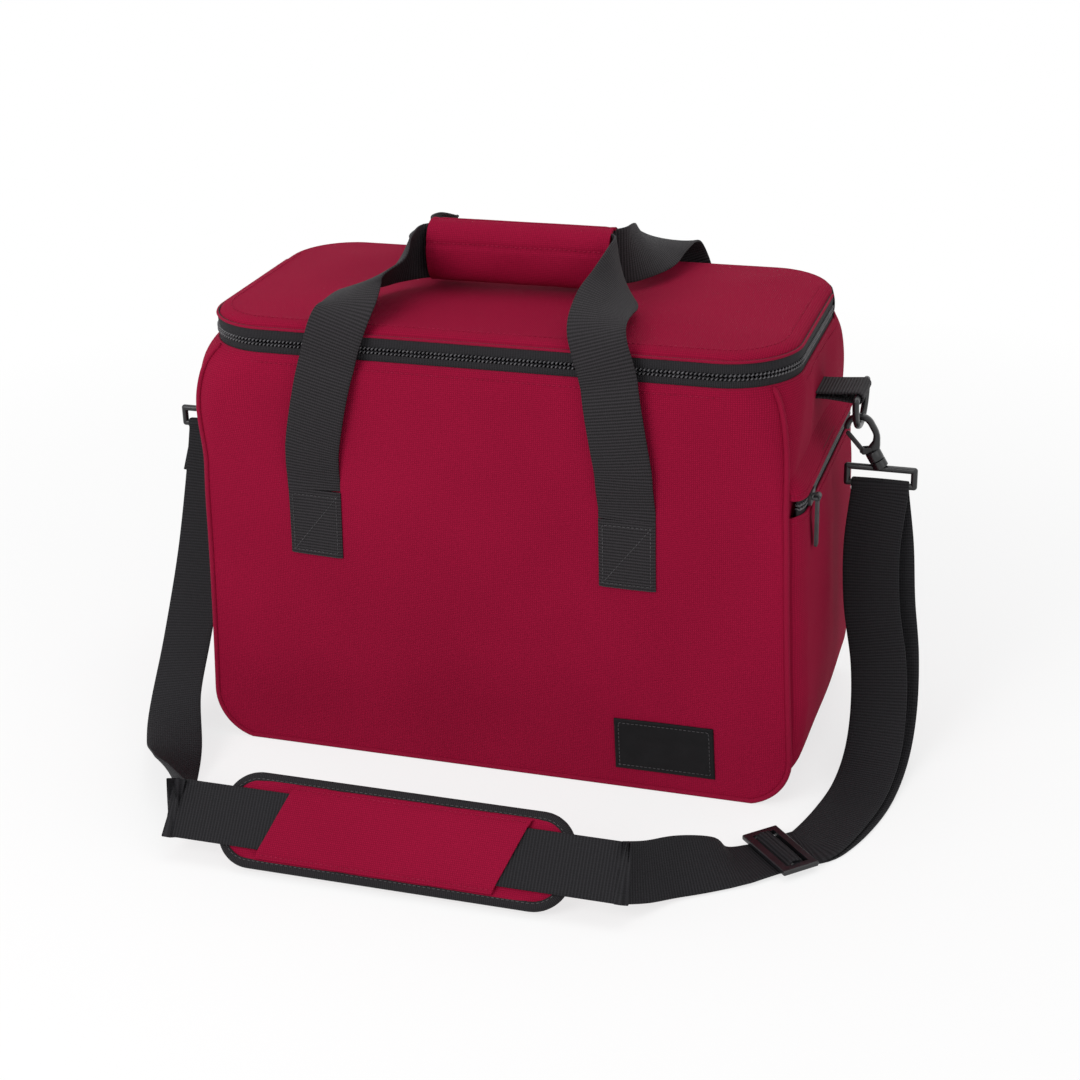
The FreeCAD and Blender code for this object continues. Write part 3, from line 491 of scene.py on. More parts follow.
def tube(
    name: str, rings: Array, uv: Array, body: str | None, look: Finish, sharp: float = 50.0
) -> bpy.types.Object:
    """Closed tube through rings of points, capped with a fan at each end.

    Args:
        name: the piece's name.
        rings: rings along the tube, by ring, point and XYZ, in millimetres.
        uv: UV in millimetres by ring and point, with one more point than a ring has.
        body: the body it rides on.
        look: its finish.
        sharp: edges that turn more degrees than this stay crisp.

    Returns:
        The object.
    """
    rows, cols = rings.shape[:2]
    quads, numbers = grid_quads(rows, cols, True)
    points = np.concatenate([rings.reshape(-1, 3), rings[0].mean(0)[None], rings[-1].mean(0)[None]])
    j = np.arange(cols)
    after = (j + 1) % cols
    first = stack(rows * cols, after, j)
    last = stack(rows * cols + 1, (rows - 1) * cols + j, (rows - 1) * cols + after)
    return finish_mesh(
        name, points, quads, uv.reshape(-1, 2)[numbers], body, look, np.concatenate([first, last]), sharp
    )


def slab(
    name: str, outer: Array, inner: Array, uv: Array, body: str | None, look: Finish, sharp: float = 50.0
) -> bpy.types.Object:
    """Closed sheet between an outer and an inner grid of points.

    Args:
        name: the piece's name.
        outer: outer surface by row, column and XYZ, in millimetres.
        inner: inner surface, on the same grid.
        uv: UV in millimetres by row and column.
        body: the body it rides on.
        look: its finish.
        sharp: edges that turn more degrees than this stay crisp.

    Returns:
        The object.
    """
    rows, cols = outer.shape[:2]
    quads, _ = grid_quads(rows, cols, False)
    shift = rows * cols
    across, down = np.arange(cols - 1), np.arange(rows - 1) * cols
    last = (rows - 1) * cols
    rims = [
        stack(far, near, near + shift, far + shift)
        for near, far in (
            (across, across + 1), (last + across + 1, last + across), (down + cols, down),
            (down + cols - 1, down + 2 * cols - 1),
        )
    ]
    faces = np.concatenate([quads, quads[:, ::-1] + shift] + rims)
    flat = np.concatenate([uv.reshape(-1, 2)] * 2)
    points = np.concatenate([outer.reshape(-1, 3), inner.reshape(-1, 3)])
    return finish_mesh(name, points, faces, flat[faces], body, look, sharp=sharp)


def grid_normals(grid: Array) -> Array:
    """Unit normal at each point of a grid, from the cross product of its two directions."""
    return unit(np.cross(np.gradient(grid, axis=0), np.gradient(grid, axis=1)))


def path_frames(path: Array, lead: Array) -> tuple[Array, Array]:
    """Two directions across a path at each point.

    Args:
        path: points of the path.
        lead: wished first direction at each point, or one for all.

    Returns:
        The first direction, squared up to the path, and the second, square to both.
    """
    tangent = unit(np.gradient(path, axis=0))
    lead = np.broadcast_to(lead, path.shape)
    first = unit(lead - (lead * tangent).sum(-1, keepdims=True) * tangent)
    return first, np.cross(tangent, first)


def circle(sides: int) -> Array:
    """Points round a circle of radius one."""
    angle = np.arange(sides) * 2 * np.pi / sides
    return stack(np.cos(angle), np.sin(angle))


def carried(path: Array, section: Array, first: Array, second: Array) -> Array:
    """A section carried along a path.

    Args:
        path: points of the path.
        section: the section's points, across and through, for all of the path or for each point.
        first: direction across, at each point.
        second: direction through, at each point.

    Returns:
        Rings, by point of the path, point of the section and XYZ.
    """
    return path[:, None] + section[..., :1] * first[:, None] + section[..., 1:] * second[:, None]


def round_cord(
    name: str, path: Array, radius: float, lead: Array, body: str, look: Finish, sides: int = 10
) -> bpy.types.Object:
    """Round cord along a path: a circle carried along it, drawn in to a point over its ends.

    Args:
        name: the piece's name.
        path: points of the path in millimetres.
        radius: the cord's radius in millimetres.
        lead: a direction that is never along the path.
        body: the body it rides on.
        look: its finish.
        sides: points round the circle.

    Returns:
        The object.
    """
    first, second = path_frames(path, lead)
    size = np.full(len(path), radius)
    size[0] = size[-1] = radius * 0.45
    rings = carried(path, circle(sides) * size[:, None, None], first, second)
    along = arc_length(path)[:, None]
    around = np.arange(sides + 1) * 2 * np.pi * radius / sides
    # the cloth of a piping is cut on the bias, so its yarns cross the cord at 45 degrees
    return tube(name, rings, stack(along + around, along - around) * 0.707, body, look)


def band_profile(width: float, thickness: float, cup: float = 0.0) -> Array:
    """Cross-section of a flat band: straight faces, half-round edges, cupped by a parabola.

    Args:
        width: full width in millimetres.
        thickness: full thickness in millimetres.
        cup: how far the edges stand above the middle.

    Returns:
        Points round the section, across and through.
    """
    flat = width / 2.0 - thickness / 2.0
    across = np.linspace(-flat, flat, 13)
    bend = np.linspace(np.pi / 2, -np.pi / 2, 5)[1:-1]
    r = thickness / 2.0
    top = stack(across, r)
    right = stack(flat + r * np.cos(bend), r * np.sin(bend))
    bottom = stack(across[::-1], -r)
    left = stack(-flat - r * np.cos(bend), -r * np.sin(bend))
    section = np.concatenate([top, right, bottom, left])
    section[:, 1] += cup * (section[:, 0] / (width / 2.0)) ** 2
    return section


def webbing(
    name: str, centres: Array, across: Array, width: float, thickness: float, body: str | None,
    look: Finish, cup: float = 0.0,
) -> bpy.types.Object:
    """Flat band of webbing along a path: its section carried along, square to the path.

    Args:
        name: the piece's name.
        centres: points of the middle line in millimetres.
        across: width direction at each point.
        width: width of the band.
        thickness: its thickness.
        body: the body it rides on.
        look: its finish.
        cup: how far its edges curl.

    Returns:
        The object.
    """
    first, second = path_frames(centres, across)
    section = band_profile(width, thickness, cup)
    side = np.append(section[:, 0], section[0, 0])
    uv = stack(arc_length(centres)[:, None], side[None])
    return tube(name, carried(centres, section, first, second), uv, body, look)


def stitches(
    name: str, path: Array, normal: Array, body: str, look: Finish,
    pitch: float = 3.4, length: float = 2.5, radius: float = 0.38,
) -> bpy.types.Object:
    """Row of sewing stitches: one small tapered bead of thread every pitch along a path.

    Args:
        name: the piece's name.
        path: the line of stitching in millimetres.
        normal: outward direction at each point of the path, or one for all.
        body: the body it rides on.
        look: its finish.
        pitch: distance from one stitch to the next.
        length: length of the visible thread.
        radius: its radius.

    Returns:
        The object.
    """
    normal = np.broadcast_to(normal, path.shape)
    both = even(np.hstack([path, normal]), pitch)
    centre, out = both[:, :3], unit(both[:, 3:])
    tangent = unit(np.gradient(centre, axis=0))
    side = unit(np.cross(out, tangent))
    out = np.cross(tangent, side)
    reach = np.array([-0.5, -0.36, 0.0, 0.36, 0.5]) * length
    size = np.array([0.15, 0.8, 1.0, 0.8, 0.15]) * radius
    lift = np.array([-0.5, 0.0, 0.25, 0.0, -0.5]) * radius
    bead = circle(6)[None] * size[:, None, None] + stack(0.0, lift)[:, None]
    local = stack(reach[:, None], bead[..., 0], bead[..., 1]).reshape(-1, 3)
    points = centre[:, None] + local @ np.stack([tangent, side, out], axis=1)
    quads, _ = grid_quads(5, 6, True)
    ends = np.array([[0, 2, 1], [0, 3, 2], [0, 4, 3], [0, 5, 4]])
    ends = np.concatenate([ends, ends[:, ::-1] + 24])
    start = (np.arange(len(centre)) * 30)[:, None, None]
    faces = (quads[None] + start).reshape(-1, 4)
    tris = (ends[None] + start).reshape(-1, 3)
    return finish_mesh(name, points.reshape(-1, 3), faces, np.zeros((len(faces), 4, 2)), body, look, tris)


def upright_band(
    name: str, path: Array, out: Array, levels: Array, bow: float, thickness: float,
    body: str | None, look: Finish,
) -> bpy.types.Object:
    """Upright band of cloth along a plan, bowed outwards between its edges by half a sine.

    Args:
        name: the piece's name.
        path: its outer line in plan.
        out: outward direction at each point, in plan.
        levels: heights of its rows.
        bow: how far the middle stands out.
        thickness: its thickness.
        body: the body it rides on.
        look: its finish.

    Returns:
        The object.
    """
    share = (levels - levels[0]) / (levels[-1] - levels[0])
    grid = raised(path[:, None] + out[:, None] * bow * np.sin(np.pi * share)[:, None], levels)
    uv = stack(arc_length(path)[:, None], levels)
    return slab(name, grid, grid - raised(out, 0.0)[:, None] * thickness, uv, body, look)


# ---------------------------------------------------------------- the bag's form


@dataclass(frozen=True)
class BagForm:
    """The body's outside: sizes in millimetres, its outline, and how its cloth settles."""

    half_w: float = 200.0
    half_d: float = 102.5
    top: float = 289.0
    base_corner: float = 36.0
    corner_low: float = 3.0
    corner_top: float = 48.0
    corner_start: float = 170.0
    spread: float = 8.0
    belly: float = 5.5
    puff: float = 3.5
    shoulder_left: float = 8.5
    shoulder_right: float = 3.5

    def corner(self, z: Array) -> Array:
        """Plan radius of the upright corners: constant below, growing faster and faster above."""
        share = np.clip((z - self.corner_start) / (self.top - self.corner_start), 0.0, 1.0)
        return self.corner_low + (self.corner_top - self.corner_low) * share**2.3

    def profile(self, inset: float, count: int) -> tuple[Array, Array]:
        """U-shaped front view of the bag: down the left side, round the base, up the right.

        Args:
            inset: how far inside the outline it runs.
            count: samples on each straight side.

        Returns:
            Points in X and Z, and the outward direction at each.
        """
        side = np.linspace(self.top, self.base_corner, count)
        turn = np.linspace(0.0, np.pi / 2, 14)[1:-1]
        bend, half = self.base_corner - inset, self.half_w - inset
        floor = np.linspace(-half + bend, half - bend, 60)
        return self.bent_path(half, inset, bend, side, turn, floor)

    @staticmethod
    def bent_path(
        half: float, low: float, bend: float, side: Array, turn: Array, middle: Array
    ) -> tuple[Array, Array]:
        """Path down one side, round a corner, across the middle, and back up the other side.

        Args:
            half: half its width.
            low: level of its middle.
            bend: radius of its corners.
            side: levels of the points down a side.
            turn: angles of the points round a corner.
            middle: places of the points across the middle.

        Returns:
            Points, and the outward direction at each.
        """
        corner = stack(np.cos(turn), np.sin(turn))
        left = np.concatenate([stack(-half, side), np.array([bend - half, bend + low]) - bend * corner])
        out = np.concatenate([stack(-1.0, 0.0 * side), -corner])
        points = np.concatenate([left, stack(middle, low), (left * [-1, 1])[::-1]])
        return points, np.concatenate([out, stack(0.0 * middle, -1.0), (out * [-1, 1])[::-1]])

    def settle(self, points: Array) -> Array:
        """Move cloth from its cut shape to how it stands.

        The body spreads towards its base, the front and back belly out by a parabola across times
        a sine up, the sides puff out by a smaller one, the shoulders swell out below the zip, and
        low waves lie along the cloth. Nothing moves at the zip or at the pocket's zip.

        Args:
            points: points in millimetres.

        Returns:
            The moved points.
        """
        x, y, z = (points[..., k].copy() for k in range(3))
        low = np.clip((200.0 - z) / 200.0, 0.0, 1.0) ** 1.5
        up = np.clip(z / self.top, 0.0, 1.0)
        rise = np.sin(np.pi * up) ** 0.8
        wide = np.clip(1.0 - (x / self.half_w) ** 2, 0.0, 1.0)
        deep = np.clip(1.0 - (y / self.half_d) ** 2, 0.0, 1.0)
        ripple = 0.9 * np.sin(x / 31.0 + 0.8 * np.sin(z / 47.0)) * np.sin(z / 53.0 + 1.3)
        ripple = ripple + 0.5 * np.sin(x / 17.0 - z / 29.0)
        swell = rise * (self.belly * wide + ripple * ease(wide, 0.0, 0.3))
        sag = self.puff * deep * rise * ease(z, 205.0, 165.0)
        sag = sag + 0.8 * np.sin(y / 19.0 + z / 41.0) * deep * rise * ease(z, 205.0, 165.0)
        high = ease(z, 205.0, 262.0) * (1.0 - np.clip((z - 262.0) / 27.0, 0.0, 1.0) ** 3)
        full = high * np.where(x < 0, self.shoulder_left, self.shoulder_right)
        full = full * (0.15 + 0.85 * ease(np.abs(y), 16.0, 50.0))
        to_face = ease(np.abs(y), self.half_d - 16.0, self.half_d)
        to_side = ease(np.abs(x), self.half_w - 14.0, self.half_w)
        to_end = ease(np.abs(x), self.half_w - 50.0, self.half_w - 12.0)
        new_x = x * (1.0 + self.spread * low / self.half_w)
        new_x = new_x + np.sign(x) * (to_side * sag + to_end * full)
        new_y = y * (1.0 + 2.0 * low / self.half_d) + np.sign(y) * to_face * (swell + 2.5 * high)
        return stack(new_x, new_y, z)

    def plan(self, inset: float, radius: float, count: int) -> tuple[Array, Array]:
        """Plan of the bag from the back left, round the front, to the back right.

        Args:
            inset: how far inside the outline it runs.
            radius: the outline's corner radius.
            count: samples on each corner.

        Returns:
            Points in X and Y, and the outward direction at each.
        """
        bend = radius - inset
        half_x, half_y = self.half_w - inset, self.half_d - inset
        turn = np.linspace(0.0, np.pi / 2, count)
        straight = np.linspace(half_y - bend, -half_y + bend, 40)[:-1]
        front = np.linspace(-half_x + bend, half_x - bend, 90)[1:-1]
        return self.bent_path(half_x, -half_y, bend, straight, turn, front)


FORM = BagForm()
DIAGONAL = 1.0 - math.sqrt(0.5)
CORNERS = ((1, 1), (-1, 1), (-1, -1), (1, -1))
PAD_CENTRE = (-17.0, -253.0, 30.2)


@dataclass
class Shell:
    """The bag's padded walls: front, back, two gussets, the base, their piping and topstitching."""

    thickness: float = 7.4
    piping_r: float = 1.8
    form: BagForm = field(default_factory=lambda: FORM)

    def build(self) -> None:
        """Build every wall."""
        for face in Face:
            self.panel(face)
            self.piping(face)
            self.bind_top(face)
        for side in Side:
            self.gusset(side)
        self.base()

    def panel(self, face: Face) -> None:
        """Front or back panel: an arch-footed sheet whose edges round back to its piping.

        Each row runs between the outline's two sides, and a point falls back from the face by a
        circle of the corner's radius, measured from its distance to the outline.

        Args:
            face: which panel.
        """
        form = self.form
        lift = form.corner_low * DIAGONAL
        bend = form.base_corner - lift
        turn = np.linspace(0.0, np.pi / 2, 18)
        upper = np.linspace(form.base_corner, form.top, 90)[1:]
        z = np.concatenate([lift + bend * (1 - np.cos(turn)), upper])
        arch = np.clip((form.base_corner - z) / bend, 0.0, 1.0)
        half = form.half_w - form.corner(z) * DIAGONAL - bend * (1.0 - np.sqrt(1.0 - arch**2))
        share = np.sin(np.linspace(-np.pi / 2, np.pi / 2, 131))
        x = half[:, None] * share[None]
        zz = np.broadcast_to(z[:, None], x.shape)
        inner_x = np.abs(x) - (form.half_w - form.base_corner)
        inner_z = form.base_corner - zz
        in_corner = (inner_x > 0) & (inner_z > 0)
        edge = np.where(
            in_corner, form.base_corner - np.hypot(inner_x, inner_z),
            np.minimum(form.half_w - np.abs(x), zz),
        )
        y = face.value * (form.half_d - rounded(form.corner(zz), edge))
        outer = form.settle(stack(x, y, zz))
        inner = outer - grid_normals(outer) * self.thickness * self.outward(outer, (0, face.value, 0))
        uv = stack(x, zz)
        name = face.word
        piece = slab("wall_" + name, outer, inner, uv, "bag", SHELL_CLOTH)
        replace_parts(piece, name + "_panel", "foam_" + name)

    @staticmethod
    def outward(grid: Array, hint: tuple[float, float, float]) -> float:
        """Sign that turns a grid's normals towards a hint direction."""
        return 1.0 if (grid_normals(grid) @ np.array(hint, float)).mean() > 0 else -1.0

    def gusset_grid(self, part: slice) -> tuple[Array, Array, Array]:
        """Part of the U-shaped gusset, which runs down one side, under the base and up the other.

        Across the gusset a point falls in towards the bag by a circle of the corner's radius, near
        the two seams.

        Args:
            part: which samples of the U to take.

        Returns:
            The settled grid, its UV and the outward directions.
        """
        form = self.form
        line, out = form.profile(0.0, 90)
        along = arc_length(line)[part]
        line, out = line[part], out[part]
        radius = form.corner(line[:, 1])
        half = form.half_d - radius * DIAGONAL
        share = np.sin(np.linspace(-np.pi / 2, np.pi / 2, 71))
        y = half[:, None] * share[None]
        back = rounded(radius[:, None], form.half_d - np.abs(y))
        x = line[:, None, 0] - out[:, None, 0] * back
        z = line[:, None, 1] - out[:, None, 1] * back
        grid = form.settle(stack(x, y, z))
        outward = stack(out[:, 0], 0.0, out[:, 1])
        return grid, stack(along[:, None], y), np.broadcast_to(outward[:, None], grid.shape)

    def gusset(self, side: Side) -> None:
        """Side gusset, from the zip down to where the base begins.

        Args:
            side: which gusset.
        """
        part = slice(0, 103) if side is Side.LEFT else slice(-103, None)
        grid, uv, outward = self.gusset_grid(part)
        normals = grid_normals(grid)
        normals = normals * np.sign((normals * outward).sum(-1, keepdims=True))
        name = side.word
        piece = slab("wall_" + name, grid, grid - normals * self.thickness, uv, "bag", SHELL_CLOTH)
        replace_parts(piece, "gusset_" + name, "foam_" + name)

    def base(self) -> None:
        """Base panel, flat on the floor between the gussets."""
        grid, uv, _ = self.gusset_grid(slice(102, -102))
        inner = grid + np.array([0.0, 0.0, 1.5])
        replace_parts(slab("base_cloth", grid, inner, uv, "bag", SHELL_CLOTH), "base_panel")

    def seam_path(self, face: Face, inset: float) -> Array:
        """The piped seam of one panel, a little inside the outline, settled.

        Args:
            face: which panel.
            inset: how much further inside than the corner's own curve it runs.

        Returns:
            Points along the seam.
        """
        form = self.form
        line, out = form.profile(0.0, 90)
        radius = form.corner(line[:, 1])
        fall = (radius * DIAGONAL + inset)[:, None]
        flat = line - out * fall
        y = face.value * (form.half_d - fall[:, 0])
        return form.settle(stack(flat[:, 0], y, flat[:, 1]))

    def piping(self, face: Face) -> None:
        """Cord in a bias strip, sewn in all along the seam of one panel.

        Args:
            face: which panel.
        """
        path = even(self.seam_path(face, -0.6), 2.5)
        path[:, 2] = np.maximum(path[:, 2], self.piping_r)
        name = face.word
        piece = round_cord(
            "piping_cord_" + name, path, self.piping_r, np.array([0.0, face.value, 0.0]), "bag",
            PIPING_CLOTH,
        )
        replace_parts(piece, "piping_" + name)

    def bind_top(self, face: Face) -> None:
        """Folded edge of the wall below the zip, as a thin roll with a row of stitches under it.

        Args:
            face: front, with both sides, or back, alone.
        """
        form, name = self.form, face.word
        plan, out = form.plan(0.0, form.corner_top, 16)
        if face is Face.BACK:
            behind = np.abs(plan[:, 0]) < form.half_w - 1e-6
            plan, out = plan[behind] * [1, -1], out[behind] * [1, -1]
        roll = even(raised(plan - out * 0.7, form.top - 0.2), 3.0)
        round_cord("rim_fold_" + name, roll, 1.05, np.array([0, 0, 1.0]), "bag", PIPING_CLOTH, 8)
        row = raised(plan + out * 0.12, form.top - 5.0)
        stitches("rim_stitch_" + name, form.settle(row), raised(out, 0.0), "bag", THREAD_RED)


@dataclass
class Lid:
    """Padded lid: cushion, edge fold, lining and the strip it hinges on."""

    low: float = 304.0
    top: float = 311.0
    edge: float = 9.0
    fall: float = 5.6
    crown: float = 2.6
    tuck: float = 2.7
    stitch_inset: float = 11.0
    lining_low: float = 302.0
    hinge_low: float = 287.0
    hinge_high: float = 306.5
    form: BagForm = field(default_factory=lambda: FORM)

    def build(self) -> None:
        """Build the lid."""
        self.cushion()
        self.edge_fold()
        self.lining()
        self.hinge_strip()

    def spread_grid(self, inset: float, rows: int, cols: int) -> tuple[Array, Array, Array]:
        """Grid over the lid's rounded rectangle, each row as wide as the outline there.

        Args:
            inset: how far inside the outline it stops.
            rows: rows from front to back.
            cols: points in a row.

        Returns:
            X, Y and the distance of each point to the outline.
        """
        form = self.form
        radius = form.corner_top - inset
        half_x, half_y = form.half_w - inset, form.half_d - inset
        turn = np.linspace(0.0, np.pi / 2, 16)
        ends = half_y - radius * (1.0 - np.sin(turn))
        straight = np.linspace(-(half_y - radius), half_y - radius, rows)
        y = np.concatenate([-ends[::-1], straight[1:-1], ends])
        over = np.clip(np.abs(y) - (half_y - radius), 0.0, radius)
        half = half_x - radius + np.sqrt(np.maximum(radius**2 - over**2, 0.0))
        x = half[:, None] * np.sin(np.linspace(-np.pi / 2, np.pi / 2, cols))[None]
        yy = np.broadcast_to(y[:, None], x.shape)
        inner_x = np.abs(x) - (half_x - radius)
        inner_y = np.abs(yy) - (half_y - radius)
        corner = (inner_x > 0) & (inner_y > 0)
        distance = np.where(
            corner, radius - np.hypot(inner_x, inner_y),
            np.minimum(half_x - np.abs(x), half_y - np.abs(yy)),
        )
        return x, yy, np.maximum(distance, 0.0)

    def height(self, x: Array, y: Array, distance: Array) -> Array:
        """Top of the lid: a quarter circle at its edge, a low crown, and soft waves.

        Args:
            x: X of each point.
            y: Y of each point.
            distance: distance to the outline.

        Returns:
            Height of each point.
        """
        fall = self.fall / self.edge * rounded(self.edge, distance)
        middle = ease(distance, 0.0, 60.0)
        wave = 0.6 * np.sin(x / 27.0 + y / 43.0) + 0.4 * np.sin(x / 15.0 - y / 31.0)
        under_grip = 0.5 + 0.5 * ease(np.abs(x), 40.0, 150.0)
        return self.top - fall + middle * (self.crown * under_grip + wave * 0.8)

    def cushion(self) -> None:
        """Foam-filled top of the lid, closed underneath."""
        x, y, distance = self.spread_grid(self.tuck, 60, 121)
        outer, inner = stack(x, y, self.height(x, y, distance)), stack(x, y, self.low)
        piece = slab("lid_cushion", outer, inner, stack(x, y), "lid", SHELL_CLOTH)
        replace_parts(piece, "lid_cover", "lid_foam")

    def edge_fold(self) -> None:
        """Thin roll of cloth where the lid meets its zip, with a row of stitches above it."""
        plan, out = self.form.plan(0.0, self.form.corner_top, 16)
        path = even(raised(plan - out * 1.5, self.low + 2.2), 3.0)
        round_cord("lid_edge_fold", path, 1.0, np.array([0, 0, 1.0]), "lid", PIPING_CLOTH, 8)
        inner, _ = self.form.plan(self.stitch_inset, self.form.corner_top, 16)
        distance = np.full(len(inner), self.stitch_inset - self.tuck)
        row = raised(inner, self.height(inner[:, 0], inner[:, 1], distance) + 0.15)
        stitches("lid_edge_stitch", row, np.array([0.0, 0.0, 1.0]), "lid", THREAD_RED)

    def lining(self) -> None:
        """Film under the lid, slightly crinkled."""
        x, y, distance = self.spread_grid(3.0, 40, 81)
        dip = 0.35 * np.sin(x / 21.0) * np.sin(y / 17.0) * ease(distance, 0.0, 30.0)
        upper, lower = stack(x, y, self.low - 0.4), stack(x, y, self.lining_low + dip)
        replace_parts(slab("lid_lining", upper, lower, stack(x, y), "lid", LINING), "lid_liner")

    def hinge_strip(self) -> None:
        """Grosgrain strip round the back, where the lid turns; it is left on no body."""
        form = self.form
        plan, out = form.plan(2.2, form.corner_top, 16)
        keep = plan[:, 1] < -(form.half_d - form.corner_top) - 1.0
        plan, out = plan[keep] * [1, -1], out[keep] * [1, -1]
        levels = np.linspace(self.hinge_low, self.hinge_high, 15)
        piece = upright_band("lid_hinge_tape", plan, out, levels, 1.6, 0.9, None, BINDING)
        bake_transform(piece)
        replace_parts(piece, "lid_hinge_strip")


@dataclass
class ZipRun:
    """One side of a coil zip: a tape and a helix of nylon along its edge."""

    pitch: float = 2.7
    wire: float = 0.62
    deep: float = 1.35
    tall: float = 0.6

    def coil(self, name: str, path: Array, out: Array, body: str) -> None:
        """Helix round a path: a flattened circle 3 mm deep and 2.2 mm high.

        Args:
            name: the piece's name.
            path: middle line in millimetres.
            out: outward direction at each point.
            body: the body it rides on.
        """
        steps = 9
        both = even(np.hstack([path, out]), self.pitch / steps)
        centre, outward = both[:, :3], unit(both[:, 3:])
        angle = np.arange(len(centre))[:, None] * 2 * np.pi / steps
        forth, lift = outward * np.cos(angle), np.array([0.0, 0.0, 1.0]) * np.sin(angle)
        line = centre + forth * self.deep + lift * self.tall
        rings = carried(line, circle(5) * self.wire, *path_frames(line, forth + lift))
        # the coil's grey colour is painted highlight on black nylon
        tube(name, rings, np.zeros((len(line), 6, 2)), body, PAINTED_HIGHLIGHT_COIL, sharp=80.0)

    def tape(
        self, name: str, path: Array, out: Array, low: float, high: float, bow: float, body: str
    ) -> bpy.types.Object:
        """Knitted tape between two heights, bowed outwards between its edges.

        Args:
            name: the piece's name.
            path: its outer line in plan.
            out: outward direction at each point, in plan.
            low: lower edge.
            high: upper edge.
            bow: how far the middle stands out.
            body: the body it rides on.

        Returns:
            The object.
        """
        return upright_band(name, path, out, np.linspace(low, high, 9), bow, 0.85, body, ZIP_TAPE)


@dataclass
class MainZip:
    """Zip round the front and both sides, between the walls and the lid."""

    run: ZipRun = field(default_factory=ZipRun)
    end_y: float = 64.5
    slider_y: float = 46.0
    coil_z: float = 295.2
    coil_apart: float = 2.6
    lower_tape: tuple[float, float] = (280.0, 294.2)
    upper_tape: tuple[float, float] = (298.8, 307.0)
    form: BagForm = field(default_factory=lambda: FORM)

    def build(self) -> None:
        """Build both tapes and both coils."""
        plan, out = self.form.plan(1.8, self.form.corner_top, 20)
        keep = plan[:, 1] <= self.end_y + 0.01
        lower = self.run.tape("zip_tape_lower", plan[keep], out[keep], *self.lower_tape, 0.5, "bag")
        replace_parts(lower, "zip_chain_body")
        upper = self.run.tape("zip_tape_upper", plan[keep], out[keep], *self.upper_tape, 0.4, "lid")
        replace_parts(upper, "zip_chain_lid")
        line, flat = self.form.plan(2.25, self.form.corner_top, 20)
        outward = raised(flat, 0.0)
        whole = line[:, 1] <= self.end_y + 0.01
        self.run.coil("zip_coil_lower", raised(line, self.coil_z)[whole], outward[whole], "bag")
        clear = whole & ((line[:, 0] > 0) | (line[:, 1] < self.slider_y))
        level = self.coil_z + self.coil_apart
        self.run.coil("zip_coil_upper", raised(line, level)[clear], outward[clear], "lid")


